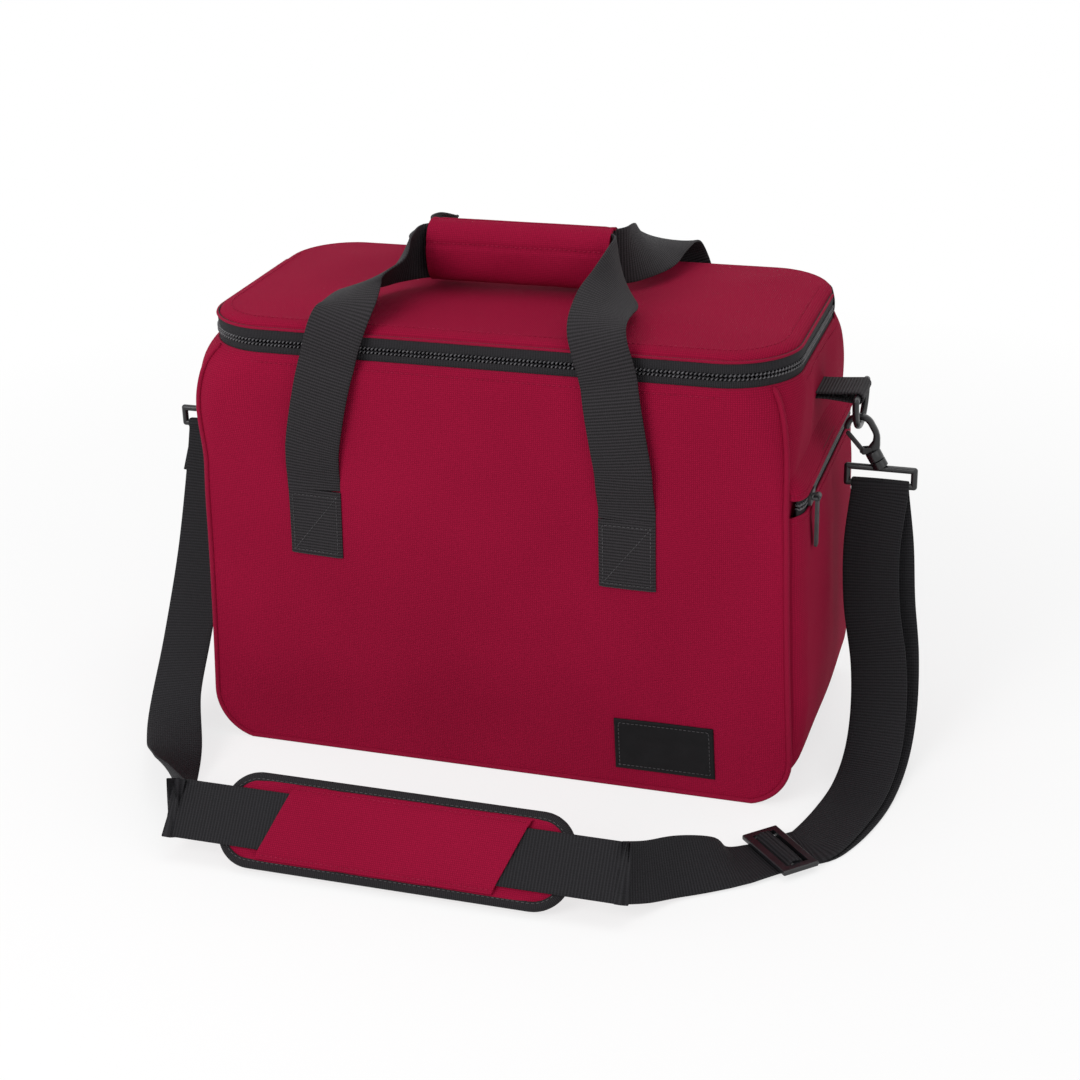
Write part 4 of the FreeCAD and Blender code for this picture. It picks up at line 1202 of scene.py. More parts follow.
@dataclass
class SidePocket:
    """Bellows pocket on the right side, with its own zip."""

    bulge: float = 9.0
    half: float = 99.8
    low: float = 22.0
    high: float = 240.0
    zip_z: float = 212.0
    slot: float = 6.0
    round_off: float = 16.0
    foot: float = 75.0
    form: BagForm = field(default_factory=lambda: FORM)
    run: ZipRun = field(default_factory=ZipRun)

    def build(self) -> None:
        """Build the pocket's cloth, zip and edge stitching."""
        gap = self.slot
        lower = self.sheet("pocket_cloth", self.low, self.zip_z - gap, 70)
        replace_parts(lower, "pocket_panel")
        upper = self.sheet("pocket_top_cloth", self.zip_z + gap, self.high, 14)
        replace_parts(upper, "pocket_facing")
        self.zip()
        self.edge_rolls()

    def surface(self, y: Array, z: Array) -> Array:
        """Face of the pocket: a rounded box that rises from the gusset over its rounded edges.

        Args:
            y: Y of each point.
            z: Z of each point.

        Returns:
            The settled points.
        """
        form = self.form
        skin = form.half_w - rounded(form.corner(z), form.half_d - np.abs(y)) - rounded(form.base_corner, z)
        ends = np.clip((np.abs(y) - self.half + self.round_off) / self.round_off, 0.0, 1.0)
        foot = np.clip(1.0 - (z - self.low) / self.foot, 0.0, 1.0)
        slope = ease(z, self.high, self.zip_z + self.slot)
        rise = np.sqrt(np.maximum(1.0 - ends**2, 0.0)) * np.sqrt(1.0 - foot**2) * slope
        crease = 0.6 * np.sin(z / 9.0) * np.exp(-(((np.abs(y) - self.half) / 22.0) ** 2))
        x = skin - 2.0 + (self.bulge + 2.2) * rise + crease * rise * ease(z, 200.0, 180.0)
        return form.settle(stack(x, y, z))

    def sheet(self, name: str, low: float, high: float, rows: int) -> bpy.types.Object:
        """Cloth of the pocket between two heights.

        Args:
            name: the piece's name.
            low: lower edge.
            high: upper edge.
            rows: rows of points.

        Returns:
            The object.
        """
        z = np.linspace(low, high, rows)
        y = self.half * np.sin(np.linspace(-np.pi / 2, np.pi / 2, 91))
        yy, zz = np.meshgrid(y, z)
        outer = self.surface(yy, zz)
        normals = grid_normals(outer)
        normals = normals * np.sign(normals[..., :1] + 1e-9)
        inner = outer - np.clip(normals, [0.4, -1, -1], 1) * 1.3
        return slab(name, outer, inner, stack(yy, zz), "bag", SHELL_CLOTH)

    def zip(self) -> None:
        """Two tapes and two coils along the pocket's mouth."""
        y = np.linspace(-self.half + 5.0, self.half - 5.0, 80)
        face = self.surface(y, np.full(80, self.zip_z - self.slot))[:, 0]
        path = stack(face - 1.8, y)
        out = np.tile([1.0, 0.0], (80, 1))
        middle, gap, reach = self.zip_z, 1.9, 12.0
        for low, high, node in (
            (middle - reach, middle - gap, "pocket_chain_lower"),
            (middle + gap, middle + reach, "pocket_chain_upper"),
        ):
            piece = self.run.tape(node.replace("chain", "zip_tape"), path, out, low, high, 0.3, "bag")
            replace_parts(piece, node)
        outward = np.tile([1.0, 0.0, 0.0], (80, 1))
        for name, level in (("lower", self.zip_z - 1.35), ("upper", self.zip_z + 1.35)):
            line = stack(face - 2.25, y, level)
            self.run.coil("pocket_coil_" + name, line, outward, "bag")

    def edge_rolls(self) -> None:
        """Turned edges of cloth beside the zip, and stitches along them."""
        y = np.linspace(-self.half + 1.5, self.half - 1.5, 80)
        for name, sign in (("lower", -1), ("upper", 1)):
            z = np.full(80, self.zip_z + sign * self.slot)
            line = self.surface(y, z) + [-0.5, 0, 0]
            round_cord("pocket_fold_" + name, line, 0.9, np.array([1.0, 0, 0]), "bag", PIPING_CLOTH, 8)
            row = self.surface(y, z + sign * 3.5) + [0.15, 0, 0]
            stitches("pocket_stitch_" + name, row, np.array([1.0, 0, 0]), "bag", THREAD_RED)


@dataclass
class Interior:
    """Lining of the main cavity and the binding round its rim."""

    inset: float = 8.1
    floor: float = 10.4
    top: float = 276.0
    form: BagForm = field(default_factory=lambda: FORM)

    def build(self) -> None:
        """Build the lining, its floor and the rim binding."""
        self.walls()
        self.floor_sheet()
        self.rim()
        dress_node("base_board", BOARD)

    def loop(self, inset: float, z: Array) -> tuple[Array, Array]:
        """Closed rounded rectangles at many heights, as wide as the bag is there.

        Args:
            inset: how far inside the outline they run.
            z: heights.

        Returns:
            Points by height and position, and their outward directions.
        """
        form = self.form
        bend = form.base_corner - inset
        arch = np.clip((form.base_corner - z) / bend, 0.0, 0.999)
        half_x = form.half_w - inset - bend * (1.0 - np.sqrt(1.0 - arch**2))
        half_y = form.half_d - inset
        radius = np.maximum(form.corner(z) - inset, 3.0)
        turn = np.linspace(0.0, np.pi / 2, 9)
        parts, outs = [], []
        for start, (sx, sy) in enumerate(CORNERS):
            angle = turn + start * np.pi / 2
            out = stack(np.cos(angle), np.sin(angle))
            centre = stack(sx * (half_x - radius), sy * (half_y - radius))
            parts.append(centre[:, None] + radius[:, None, None] * out)
            outs.append(np.broadcast_to(out, parts[-1].shape))
        ring, out = np.concatenate(parts, axis=1), np.concatenate(outs, axis=1)
        fill = np.linspace(0.0, 1.0, 7)[:-1][None, None, :, None]
        nxt, nxt_out = np.roll(ring, -1, axis=1), np.roll(out, -1, axis=1)
        dense = ring[:, :, None] * (1 - fill) + nxt[:, :, None] * fill
        dense_out = out[:, :, None] * (1 - fill) + nxt_out[:, :, None] * fill
        return dense.reshape(len(z), -1, 2), unit(dense_out.reshape(len(z), -1, 2))

    def tank(
        self, name: str, inset: float, wall: float, z: Array, waves: float, look: Finish
    ) -> bpy.types.Object:
        """Wall round the cavity: a closed ring of an outer and an inner skin.

        Args:
            name: the piece's name.
            inset: inset of the outer skin.
            wall: thickness.
            z: heights of its rows.
            waves: depth of the crinkles.
            look: its finish.

        Returns:
            The object.
        """
        ring, out = self.loop(inset, z)
        rows, cols = ring.shape[:2]
        place = np.arange(cols)[None] * 0.41
        crinkle = waves * (1 + np.sin(z[:, None] / 13.0 + 2 * np.sin(place)) * np.sin(place * 1.7)) / 2
        level = z[:, None]
        wall_face = raised(ring + out * inset, level)
        move = self.form.settle(wall_face) - wall_face
        outer = raised(ring - out * 0.05, level) + move
        inner = raised(ring - out * (wall + crinkle)[..., None], level) + move
        section = np.concatenate([outer, inner[::-1]], axis=0)
        quads, numbers = grid_quads(2 * rows, cols, True)
        j, last = np.arange(cols), (2 * rows - 1) * cols
        after = (j + 1) % cols
        close = stack(j + last, after + last, after, j)
        uv = stack(np.arange(cols + 1) * 4.0, np.concatenate([z, z[::-1]])[:, None]).reshape(-1, 2)
        corner_uv = np.concatenate([uv[numbers], np.zeros((cols, 4, 2))])
        return finish_mesh(
            name, section.reshape(-1, 3), np.concatenate([quads, close]), corner_uv, "bag", look
        )

    def walls(self) -> None:
        """Lining film on the four walls."""
        turn = np.linspace(0.0, np.pi / 2, 10)
        low = self.floor + (self.form.base_corner - self.floor) * (1 - np.cos(turn))
        z = np.concatenate([low, np.linspace(self.form.base_corner, self.top, 40)[1:]])
        piece = self.tank("lining_walls", self.inset, 1.0, z, 1.2, LINING)
        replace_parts(piece, "liner")

    def floor_sheet(self) -> None:
        """Lining film on the floor of the cavity, with its foam below."""
        half_x = self.form.half_w - self.form.base_corner + 6.0
        half_y = self.form.half_d - self.inset - 0.6
        x, y = np.meshgrid(np.linspace(-half_x, half_x, 90), np.linspace(-half_y, half_y, 50))
        wave = 0.5 * np.sin(x / 17.0 + y / 23.0) * np.sin(y / 19.0)
        upper, lower = stack(x, y, self.floor + 1.0 + wave), stack(x, y, self.floor - 0.2)
        slab("lining_floor", upper, lower, stack(x, y), "bag", LINING)
        dress_node("foam_base", FOAM)

    def rim(self) -> None:
        """Grosgrain binding over the raw edges at the cavity's mouth."""
        z = np.linspace(self.top + 0.3, 288.8, 8)
        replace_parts(self.tank("rim_tape", 3.4, 5.4, z, 0.06, BINDING), "rim_binding")


def dress_node(node: str, look: Finish) -> None:
    """Give a CAD node a finish.

    Args:
        node: the node's name.
        look: its finish.
    """
    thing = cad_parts[node]
    material = look.material()
    if not thing.material_slots:
        thing.data.materials.append(material)
    for slot in thing.material_slots:
        slot.material = material


@dataclass
class CarryHandle:
    """One carry handle: webbing sewn to the panel in two places and drawn into half a grip."""

    face: Face
    width: float = 38.0
    thickness: float = 1.6
    left_x: float = -119.0
    right_x: float = 97.0
    anchor_low: float = 150.0
    anchor_top: float = 197.0
    lid_edge: float = 312.6
    left_lean: float = 7.0
    grip_left: float = -66.0
    grip_right: float = 62.0
    grip_z: float = 337.5
    wrap_h: float = 21.0
    wrap_t: float = 15.0
    channel: float = 0.35
    form: BagForm = field(default_factory=lambda: FORM)

    @property
    def body(self) -> str:
        """The body this handle rides on."""
        return self.face.word + "_handle"

    def build(self) -> None:
        """Build the webbing, its sewn ends and the wrap."""
        self.strap()
        self.anchor("left", self.left_x)
        self.anchor("right", self.right_x)
        self.wrap()
        dress_node("grip_hook_strip" if self.face is Face.FRONT else "grip_loop_strip", NAP)

    def turn(self, points: Array) -> Array:
        """Turn points of the front handle to this one's face."""
        return points * [1, -self.face.value, 1]

    def leg(self, anchor_x: float, grip_x: float, side: int) -> tuple[Array, Array]:
        """Stations of one leg, from its sewn end over the lid's edge into the grip.

        Args:
            anchor_x: middle of the sewn end.
            grip_x: end of the grip.
            side: -1 for the left leg, 1 for the right.

        Returns:
            Centres and width directions.
        """
        web_y = -(self.form.half_d + 0.3 + self.thickness / 2)
        top, over, s = self.anchor_top, self.lid_edge, side
        lean = self.left_lean if side < 0 else 0.0
        stations = [
            ((anchor_x, web_y, top + 0.3), (1, 0, 0)),
            ((anchor_x, web_y - 0.3, top + 7.0), (1, 0, 0)),
            ((anchor_x - s * 1.0, web_y - 2.5, top + 22.0), (1, 0, s * 0.04)),
            ((anchor_x - s * (2.0 + lean * 0.3), web_y - 4.0, top + 40.0), (1, 0, s * 0.12)),
            ((anchor_x - s * (10.0 + lean), web_y - 6.0, self.form.top), (1, 0, s * 0.3)),
            ((anchor_x - s * (17.0 + lean), web_y - 3.5, over), (1, 0, s * 0.32)),
            ((anchor_x - s * (21.0 + lean), web_y + 8.0, over + 12.0), (1, s * 0.15, s * 0.05)),
            ((anchor_x - s * (22.0 + lean * 0.8), web_y + 32.0, over + 18.0), (0.92, s * 0.2, -s * 0.32)),
            ((grip_x + s * 14.0, -50.0, self.grip_z - 4.5), (0.72, s * 0.2, -s * 0.62)),
            ((grip_x + s * 11.0, -28.0, self.grip_z - 1.0), (0.38, s * 0.15, -s * 0.9)),
            ((grip_x + s * 5.0, -11.0, self.grip_z), (0.1, 0, -s)),
            ((grip_x - s * 6.0, -3.2, self.grip_z), (0, 0, -s)),
            ((grip_x - s * 20.0, -3.2, self.grip_z), (0, 0, -s)),
        ]
        return np.array([a for a, _ in stations], float), np.array([b for _, b in stations], float)

    def strap(self) -> None:
        """Webbing of the handle, one band from sewn end to sewn end."""
        left, left_w = self.leg(self.left_x, self.grip_left, -1)
        right, right_w = self.leg(self.right_x, self.grip_right, 1)
        centres = catmull(np.vstack([left, right[::-1]]), 12)
        across = catmull(np.vstack([left_w, -right_w[::-1]]), 12)
        below = centres[:, 2] < self.form.top
        centres[below] = self.form.settle(centres[below])
        both = even(np.hstack([self.turn(centres), self.turn(across)]), 3.0)
        piece = webbing(
            self.body + "_strap", both[:, :3], both[:, 3:], self.width, self.thickness, None, WEBBING,
            cup=0.5,
        )
        self.body
        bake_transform(piece)
        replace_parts(piece, self.body + "_webbing")
        arc_length(both[:, :3])[-1] * MM

    def anchor(self, side: str, x_mid: float) -> None:
        """Sewn end of the webbing: flat on the panel, with a box of stitches and a turned tip.

        Args:
            side: left or right, as it stands in the node's name.
            x_mid: middle of the sewn end.
        """
        z = np.linspace(self.anchor_low, self.anchor_top, 20)
        x = np.linspace(-self.width / 2, self.width / 2, 15)
        xx, zz = np.meshgrid(x + x_mid, z)
        skin = self.form.settle(self.turn(stack(xx, -(self.form.half_d + 0.1), zz)))
        out = np.array([0.0, self.face.value, 0.0])
        round_edge = np.clip((np.abs(xx - x_mid) - self.width / 2 + 0.9) / 0.9, 0, 1)
        outer = skin + out * (1.75 - 0.9 * round_edge**2)[..., None]
        name = f"{self.face.word}_anchor_{side}"
        uv = stack(zz, xx - x_mid)
        piece = slab(name.replace("anchor", "sewn_end"), outer, skin + out * 0.02, uv, "bag", WEBBING)
        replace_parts(piece, name)
        inset = 3.0
        w, low, high = self.width / 2 - inset, self.anchor_low + inset, self.anchor_top - 4.0
        corners = np.array([[-w, low], [w, low], [w, high], [-w, high], [-w, low], [w, high]], float)
        line = even(corners, 1.0)
        flat = stack(line[:, 0] + x_mid, -self.form.half_d, line[:, 1])
        row = self.form.settle(self.turn(flat)) + out * 1.95
        stitches(name + "_stitch", row, out, "bag", THREAD_BLACK, 3.0, 2.3, 0.3)

    def wrap(self) -> None:
        """Half of the grip's padded wrap: half an ellipse carried along the grip.

        The section is a thick padded shell, puffed between its hems, with a sewn channel along it.
        """
        angle = np.linspace(-np.pi / 2 + 0.02, np.pi / 2 - 0.02, 41)
        x = np.linspace(self.grip_left + 0.6, self.grip_right - 0.6, 61)[:, None]
        share = (x - self.grip_left) / (self.grip_right - self.grip_left)
        hem = 1.0 - 0.55 * (np.exp(-((share - 0.035) / 0.012) ** 2) + np.exp(-((share - 0.965) / 0.012) ** 2))
        channel = 1.1 * np.exp(-(((angle - self.channel) / 0.07) ** 2))
        puff = 0.5 * np.sin(3 * angle) * np.sin(5 * np.pi * share)
        y = -(self.wrap_t - 0.6 + hem - channel + puff) * np.cos(angle) ** 0.8 - 0.15
        z = self.grip_z + (self.wrap_h - 0.7 + 0.6 * hem) * np.sin(angle)
        outer = self.turn(stack(x, y, z))
        inner_y = -np.maximum((self.wrap_t - 4.5) * np.cos(angle), 0.0) - 0.15
        inner = self.turn(stack(x, inner_y, self.grip_z + (self.wrap_h - 1.6) * np.sin(angle)))
        uv = stack(x, arc_length(stack(y[30], z[30])))
        name = "grip_wrap_" + self.face.word
        piece = slab(name.replace("wrap", "sleeve"), outer, inner, uv, self.body, SHELL_CLOTH)
        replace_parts(piece, name)
        k = int(np.argmin(np.abs(angle - self.channel)))
        row = outer[3:-3, k] + self.turn(np.array([[0.0, -0.2, 0.05]]))
        stitches(name + "_stitch", row, np.array([0, self.face.value, 0.3]), self.body, THREAD_RED)


@dataclass
class RingMount:
    """Webbing loop at one side that carries a D-ring, and the ring."""

    side: Side
    reach: float = 28.0
    level: float = 259.0
    width: float = 32.0
    form: BagForm = field(default_factory=lambda: FORM)

    def build(self) -> None:
        """Build the loop and dress the ring."""
        wall_x, side = self.form.half_w, self.side.word
        turn = np.linspace(np.pi / 2, -np.pi / 2, 15)
        radius = 3.45
        bend = stack(wall_x + self.reach + radius * np.cos(turn), 0.0, self.level + radius * np.sin(turn))
        start = np.array([[wall_x - 4.0, 0, self.level + 1.6], [wall_x + 8.0, 0, self.level + 1.9]])
        end = start[::-1] - [0, 0, 3.5]
        path = even(catmull(np.vstack([start, bend, end]), 4), 1.2)
        path[:, 0] *= self.side.value
        lead = np.array([0, 1.0, 0])
        piece = webbing("ring_tab_" + side, path, lead, self.width, 1.5, "bag", WEBBING)
        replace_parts(piece, "strap_loop_" + side)
        for node in ("d_ring_", "hook_gate_", "swivel_frame_"):
            dress_node(node + side, ACETAL)
        SnapHook(self.side).build()


@dataclass
class SnapHook:
    """Moulded snap hook: a round-edged J that rises from a swivel barrel and closes over the ring."""

    side: Side
    centre: tuple[float, float] = (228.0, 232.55)
    lean: float = math.radians(30.0)
    bow: float = 8.5
    half_depth: float = 2.5

    def build(self) -> None:
        """Build the J, its barrel and the two cheeks that hold the gate's pin."""
        name = self.side.word
        turn = np.radians(np.linspace(0.0, 156.0, 30))
        arc = stack(self.bow * np.cos(turn), self.bow * np.sin(turn))
        leg = catmull([[0.6, -18.1], [1.6, -16.6], [5.6, -12.6], [8.2, -7.4], [self.bow, 0.0]], 10)
        path = np.vstack([leg[:-1], arc])
        half = np.interp(path[:, 1], [-18.1, -16.4, -12.6, -8.0], [4.3, 4.0, 2.5, 2.0])
        self.bar("snap_bow_" + name, path, half, 0.0, self.half_depth)
        cheek = np.linspace([1.0, -17.0], [-6.2, -14.2], 12)
        for mark, offset in (("front", -2.2), ("rear", 2.2)):
            self.bar(f"snap_cheek_{mark}_{name}", cheek, np.full(12, 2.3), offset, 0.28)
        self.barrel("snap_barrel_" + name)

    def place(self, points: Array) -> Array:
        """Lean upright points outwards at their lower end and move them to the ring on this side.

        Args:
            points: points round the middle of the bow, upright.

        Returns:
            The placed points.
        """
        x, y, z = np.moveaxis(points, -1, 0)
        out = self.centre[0] + x * math.cos(self.lean) - z * math.sin(self.lean)
        up = self.centre[1] + x * math.sin(self.lean) + z * math.cos(self.lean)
        return stack(self.side.value * out, y, up)

    def finish(self, name: str, rings: Array, along: Array) -> None:
        """Close upright rings into a piece that stands for the hook of this side.

        Args:
            name: the piece's name.
            rings: its rings, upright.
            along: distance along the piece at each ring.
        """
        hook = "hook_" + self.side.word
        uv = stack(np.linspace(0.0, 16.0, rings.shape[1] + 1), along[:, None])
        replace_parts(tube(name, self.place(rings), uv, hook, ACETAL), hook)

    def bar(self, name: str, path: Array, half: Array, offset: float, depth: float) -> None:
        """Bar with softened edges along an upright path.

        Args:
            name: the piece's name.
            path: X and Z of its centre line.
            half: half its width at each station.
            offset: Y of its middle.
            depth: half its depth.
        """
        along = arc_length(path)
        end = np.minimum(along, along[-1] - along) / min(1.2, depth * 1.5)
        cap = np.sqrt(1.0 - (1.0 - np.clip(end, 0.06, 1.0)) ** 2)
        tangent = unit(np.gradient(path, axis=0))
        section = np.sign(circle(24)) * np.abs(circle(24)) ** 0.6
        width = (half * cap)[:, None] * section[:, 0]
        x = path[:, :1] + tangent[:, 1:] * width
        z = path[:, 1:] - tangent[:, :1] * width
        y = offset + (depth * cap)[:, None] * section[:, 1]
        self.finish(name, stack(x, y, z), along)

    def barrel(self, name: str) -> None:
        """Hollow barrel round the swivel's stem, open below.

        Args:
            name: the piece's name.
        """
        outline = np.array([
            [0.4, -17.3], [4.3, -17.3], [4.9, -17.5], [5.2, -18.1], [5.2, -23.8], [4.9, -24.3], [4.4, -24.5],
            [3.0, -24.5], [2.95, -24.3], [2.95, -21.6], [4.3, -21.5], [4.4, -21.3], [4.4, -18.7], [4.2, -18.5],
            [0.4, -18.5],
        ])
        round_it = outline[:, None, :1] * circle(32)
        self.finish(name, raised(round_it, outline[:, 1:]), arc_length(outline))


@dataclass
class ShoulderStrap:
    """Webbing from ring to ring: a doubled adjuster run on the right, and one long run."""

    width: float = 38.0
    thickness: float = 1.6
    bar_x: float = 242.9
    bar_z: float = 194.34
    wrap_r: float = 3.3
    slider_at: tuple[float, float, float] = (212.0, -165.0, 5.6)

    def build(self) -> None:
        """Build both bands and dress the slider."""
        dress_node("strap_slider", ACETAL)
        self.adjuster()
        self.long_run()

    def fold(self, sign: float) -> tuple[Array, Array]:
        """Half turn of webbing over the lower bar of one frame, from its front to its back.

        Args:
            sign: the frame's side, as the sign of X.

        Returns:
            Centres and width directions.
        """
        turn = np.linspace(np.pi, 0.0, 11)
        y, z = self.wrap_r * np.cos(turn), self.bar_z + self.wrap_r * np.sin(turn)
        points = stack(sign * self.bar_x, y, z)
        return points, np.tile([1.0, 0.0, 0.0], (11, 1))

    def by_slider(self, along: float, lift: float) -> tuple[float, float, float]:
        """Point at a distance along the strap's slider and a height over its middle."""
        x, y = np.array(self.slider_at[:2]) + unit(np.array([-0.72, -0.69])) * along
        return (x, y, self.slider_at[2] + lift)

    def band(self, name: str, stations: list, nodes: tuple[str, ...]) -> bpy.types.Object:
        """Smooth band through stations of centre and width direction.

        Args:
            name: the piece's name.
            stations: centre and width direction of each station.
            nodes: the nodes it stands for.

        Returns:
            The object.
        """
        centres = catmull(np.array([a for a, _ in stations], float), 10)
        across = catmull(np.array([unit(np.array(b, float)) for _, b in stations]), 10)
        both = even(np.hstack([centres, across]), 2.5)
        # the strap takes the darker copy of the webbing, whose colour carries painted shade
        piece = webbing(
            name, both[:, :3], both[:, 3:], self.width, self.thickness, "strap", SHADED_STRAP_WEBBING, cup=0.3
        )
        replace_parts(piece, *nodes)
        arc_length(both[:, :3])[-1] * MM
        return piece

    def adjuster(self) -> None:
        """Run from the slider up over the right frame's bar and back down behind itself."""
        x = self.bar_x
        t = (0.69, -0.72, 0.0)
        up = [
            (self.by_slider(0.0, 2.9), t),
            (self.by_slider(-3.1, 2.9), t),
            (self.by_slider(-7.4, -2.9), t),
            (self.by_slider(-14.0, -2.9), t),
            (self.by_slider(-27.0, -2.0), (0.8, -0.6, 0)),
            ((x - 1.0, -114.0, 4.6), (1, -0.45, 0)),
            ((x + 6.0, -78.0, 6.4), (1, -0.15, 0)),
            ((x + 9.0, -46.0, 16.0), (1, -0.05, 0)),
            ((x + 9.0, -25.0, 38.0), (1, 0, 0)),
            ((x + 6.0, -14.0, 70.0), (1, 0, 0)),
            ((x - 1.0, -9.0, 110.0), (1, 0, 0)),
            ((x - 3.0, -6.0, 150.0), (1, 0, 0)),
            ((x, -self.wrap_r, self.bar_z - 6.0), (1, 0, 0)),
        ]
        turn, side = self.fold(1.0)
        down = [
            ((x, self.wrap_r, self.bar_z - 6.0), (1, 0, 0)),
            ((x + 5.0, 4.0, 150.0), (1, 0, 0)),
            ((x + 8.0, 3.0, 110.0), (1, 0, 0)),
            ((x + 13.0, -1.0, 70.0), (1, 0, 0)),
            ((x + 15.0, -13.0, 34.0), (1, 0, 0)),
            ((x + 14.0, -38.0, 10.0), (1, -0.05, 0)),
            ((x + 10.0, -78.0, 1.6), (1, -0.15, 0)),
            ((x + 2.0, -116.0, 1.2), (1, -0.45, 0)),
            (self.by_slider(-30.0, -4.7), (0.8, -0.6, 0)),
            (self.by_slider(-17.0, -4.7), t),
        ]
        self.band(
            "strap_adjuster_run", up + list(zip(turn, side)) + down,
            ("strap_right_drop", "strap_right_return"),
        )

    def long_run(self) -> None:
        """Run from the slider along the floor, through the pad, and up to the left frame."""
        x = self.bar_x
        t = (0.69, -0.72, 0.0)
        centre = np.array(PAD_CENTRE)
        down = (0.0, -0.643, -0.766)
        right, left = centre + [142.0, 0, 0], centre - [142.0, 0, 0]
        stations = [
            (self.by_slider(0.5, 2.9), t),
            (self.by_slider(3.1, 2.9), t),
            (self.by_slider(7.4, -2.9), t),
            (self.by_slider(14.0, -2.9), t),
            (self.by_slider(30.0, -1.2), (0.62, -0.76, -0.1)),
            (self.by_slider(44.0, 4.5), (0.45, -0.72, -0.42)),
            ((158.0, -217.0, 17.0), (0.14, -0.68, -0.72)),
            ((143.0, -237.0, 23.0), (0.04, -0.64, -0.77)),
            (right + [5.0, 0, 0], down), (right, down), (centre, down), (left, down),
            (left - [5.0, 0, 0], down),
            ((-x + 64.0, -225.0, 23.0), (0.4, -0.5, -0.77)),
            ((-x + 47.0, -195.0, 19.0), (0.75, -0.35, -0.55)),
            ((-x + 28.0, -158.0, 18.5), (0.95, -0.35, -0.2)),
            ((-x + 10.0, -118.0, 29.0), (1, -0.25, -0.05)),
            ((-x + 2.0, -76.0, 59.0), (1, -0.1, 0)),
            ((-x - 1.0, -38.0, 105.0), (1, 0, 0)),
            ((-x - 2.0, -14.0, 150.0), (1, 0, 0)),
            ((-x, -self.wrap_r, self.bar_z - 6.0), (1, 0, 0)),
        ]
        turn, side = self.fold(-1.0)
        tail = [
            ((-x, self.wrap_r, self.bar_z - 6.0), (1, 0, 0)),
            ((-x - 2.0, -1.5, self.bar_z - 17.0), (1, 0, 0)),
            ((-x - 4.5, -9.5, self.bar_z - 36.0), (1, 0, 0)),
        ]
        self.band(
            "strap_long_run", stations + list(zip(turn, side)) + tail,
            ("strap_right_floor", "strap_pad_run", "strap_left_run"),
        )


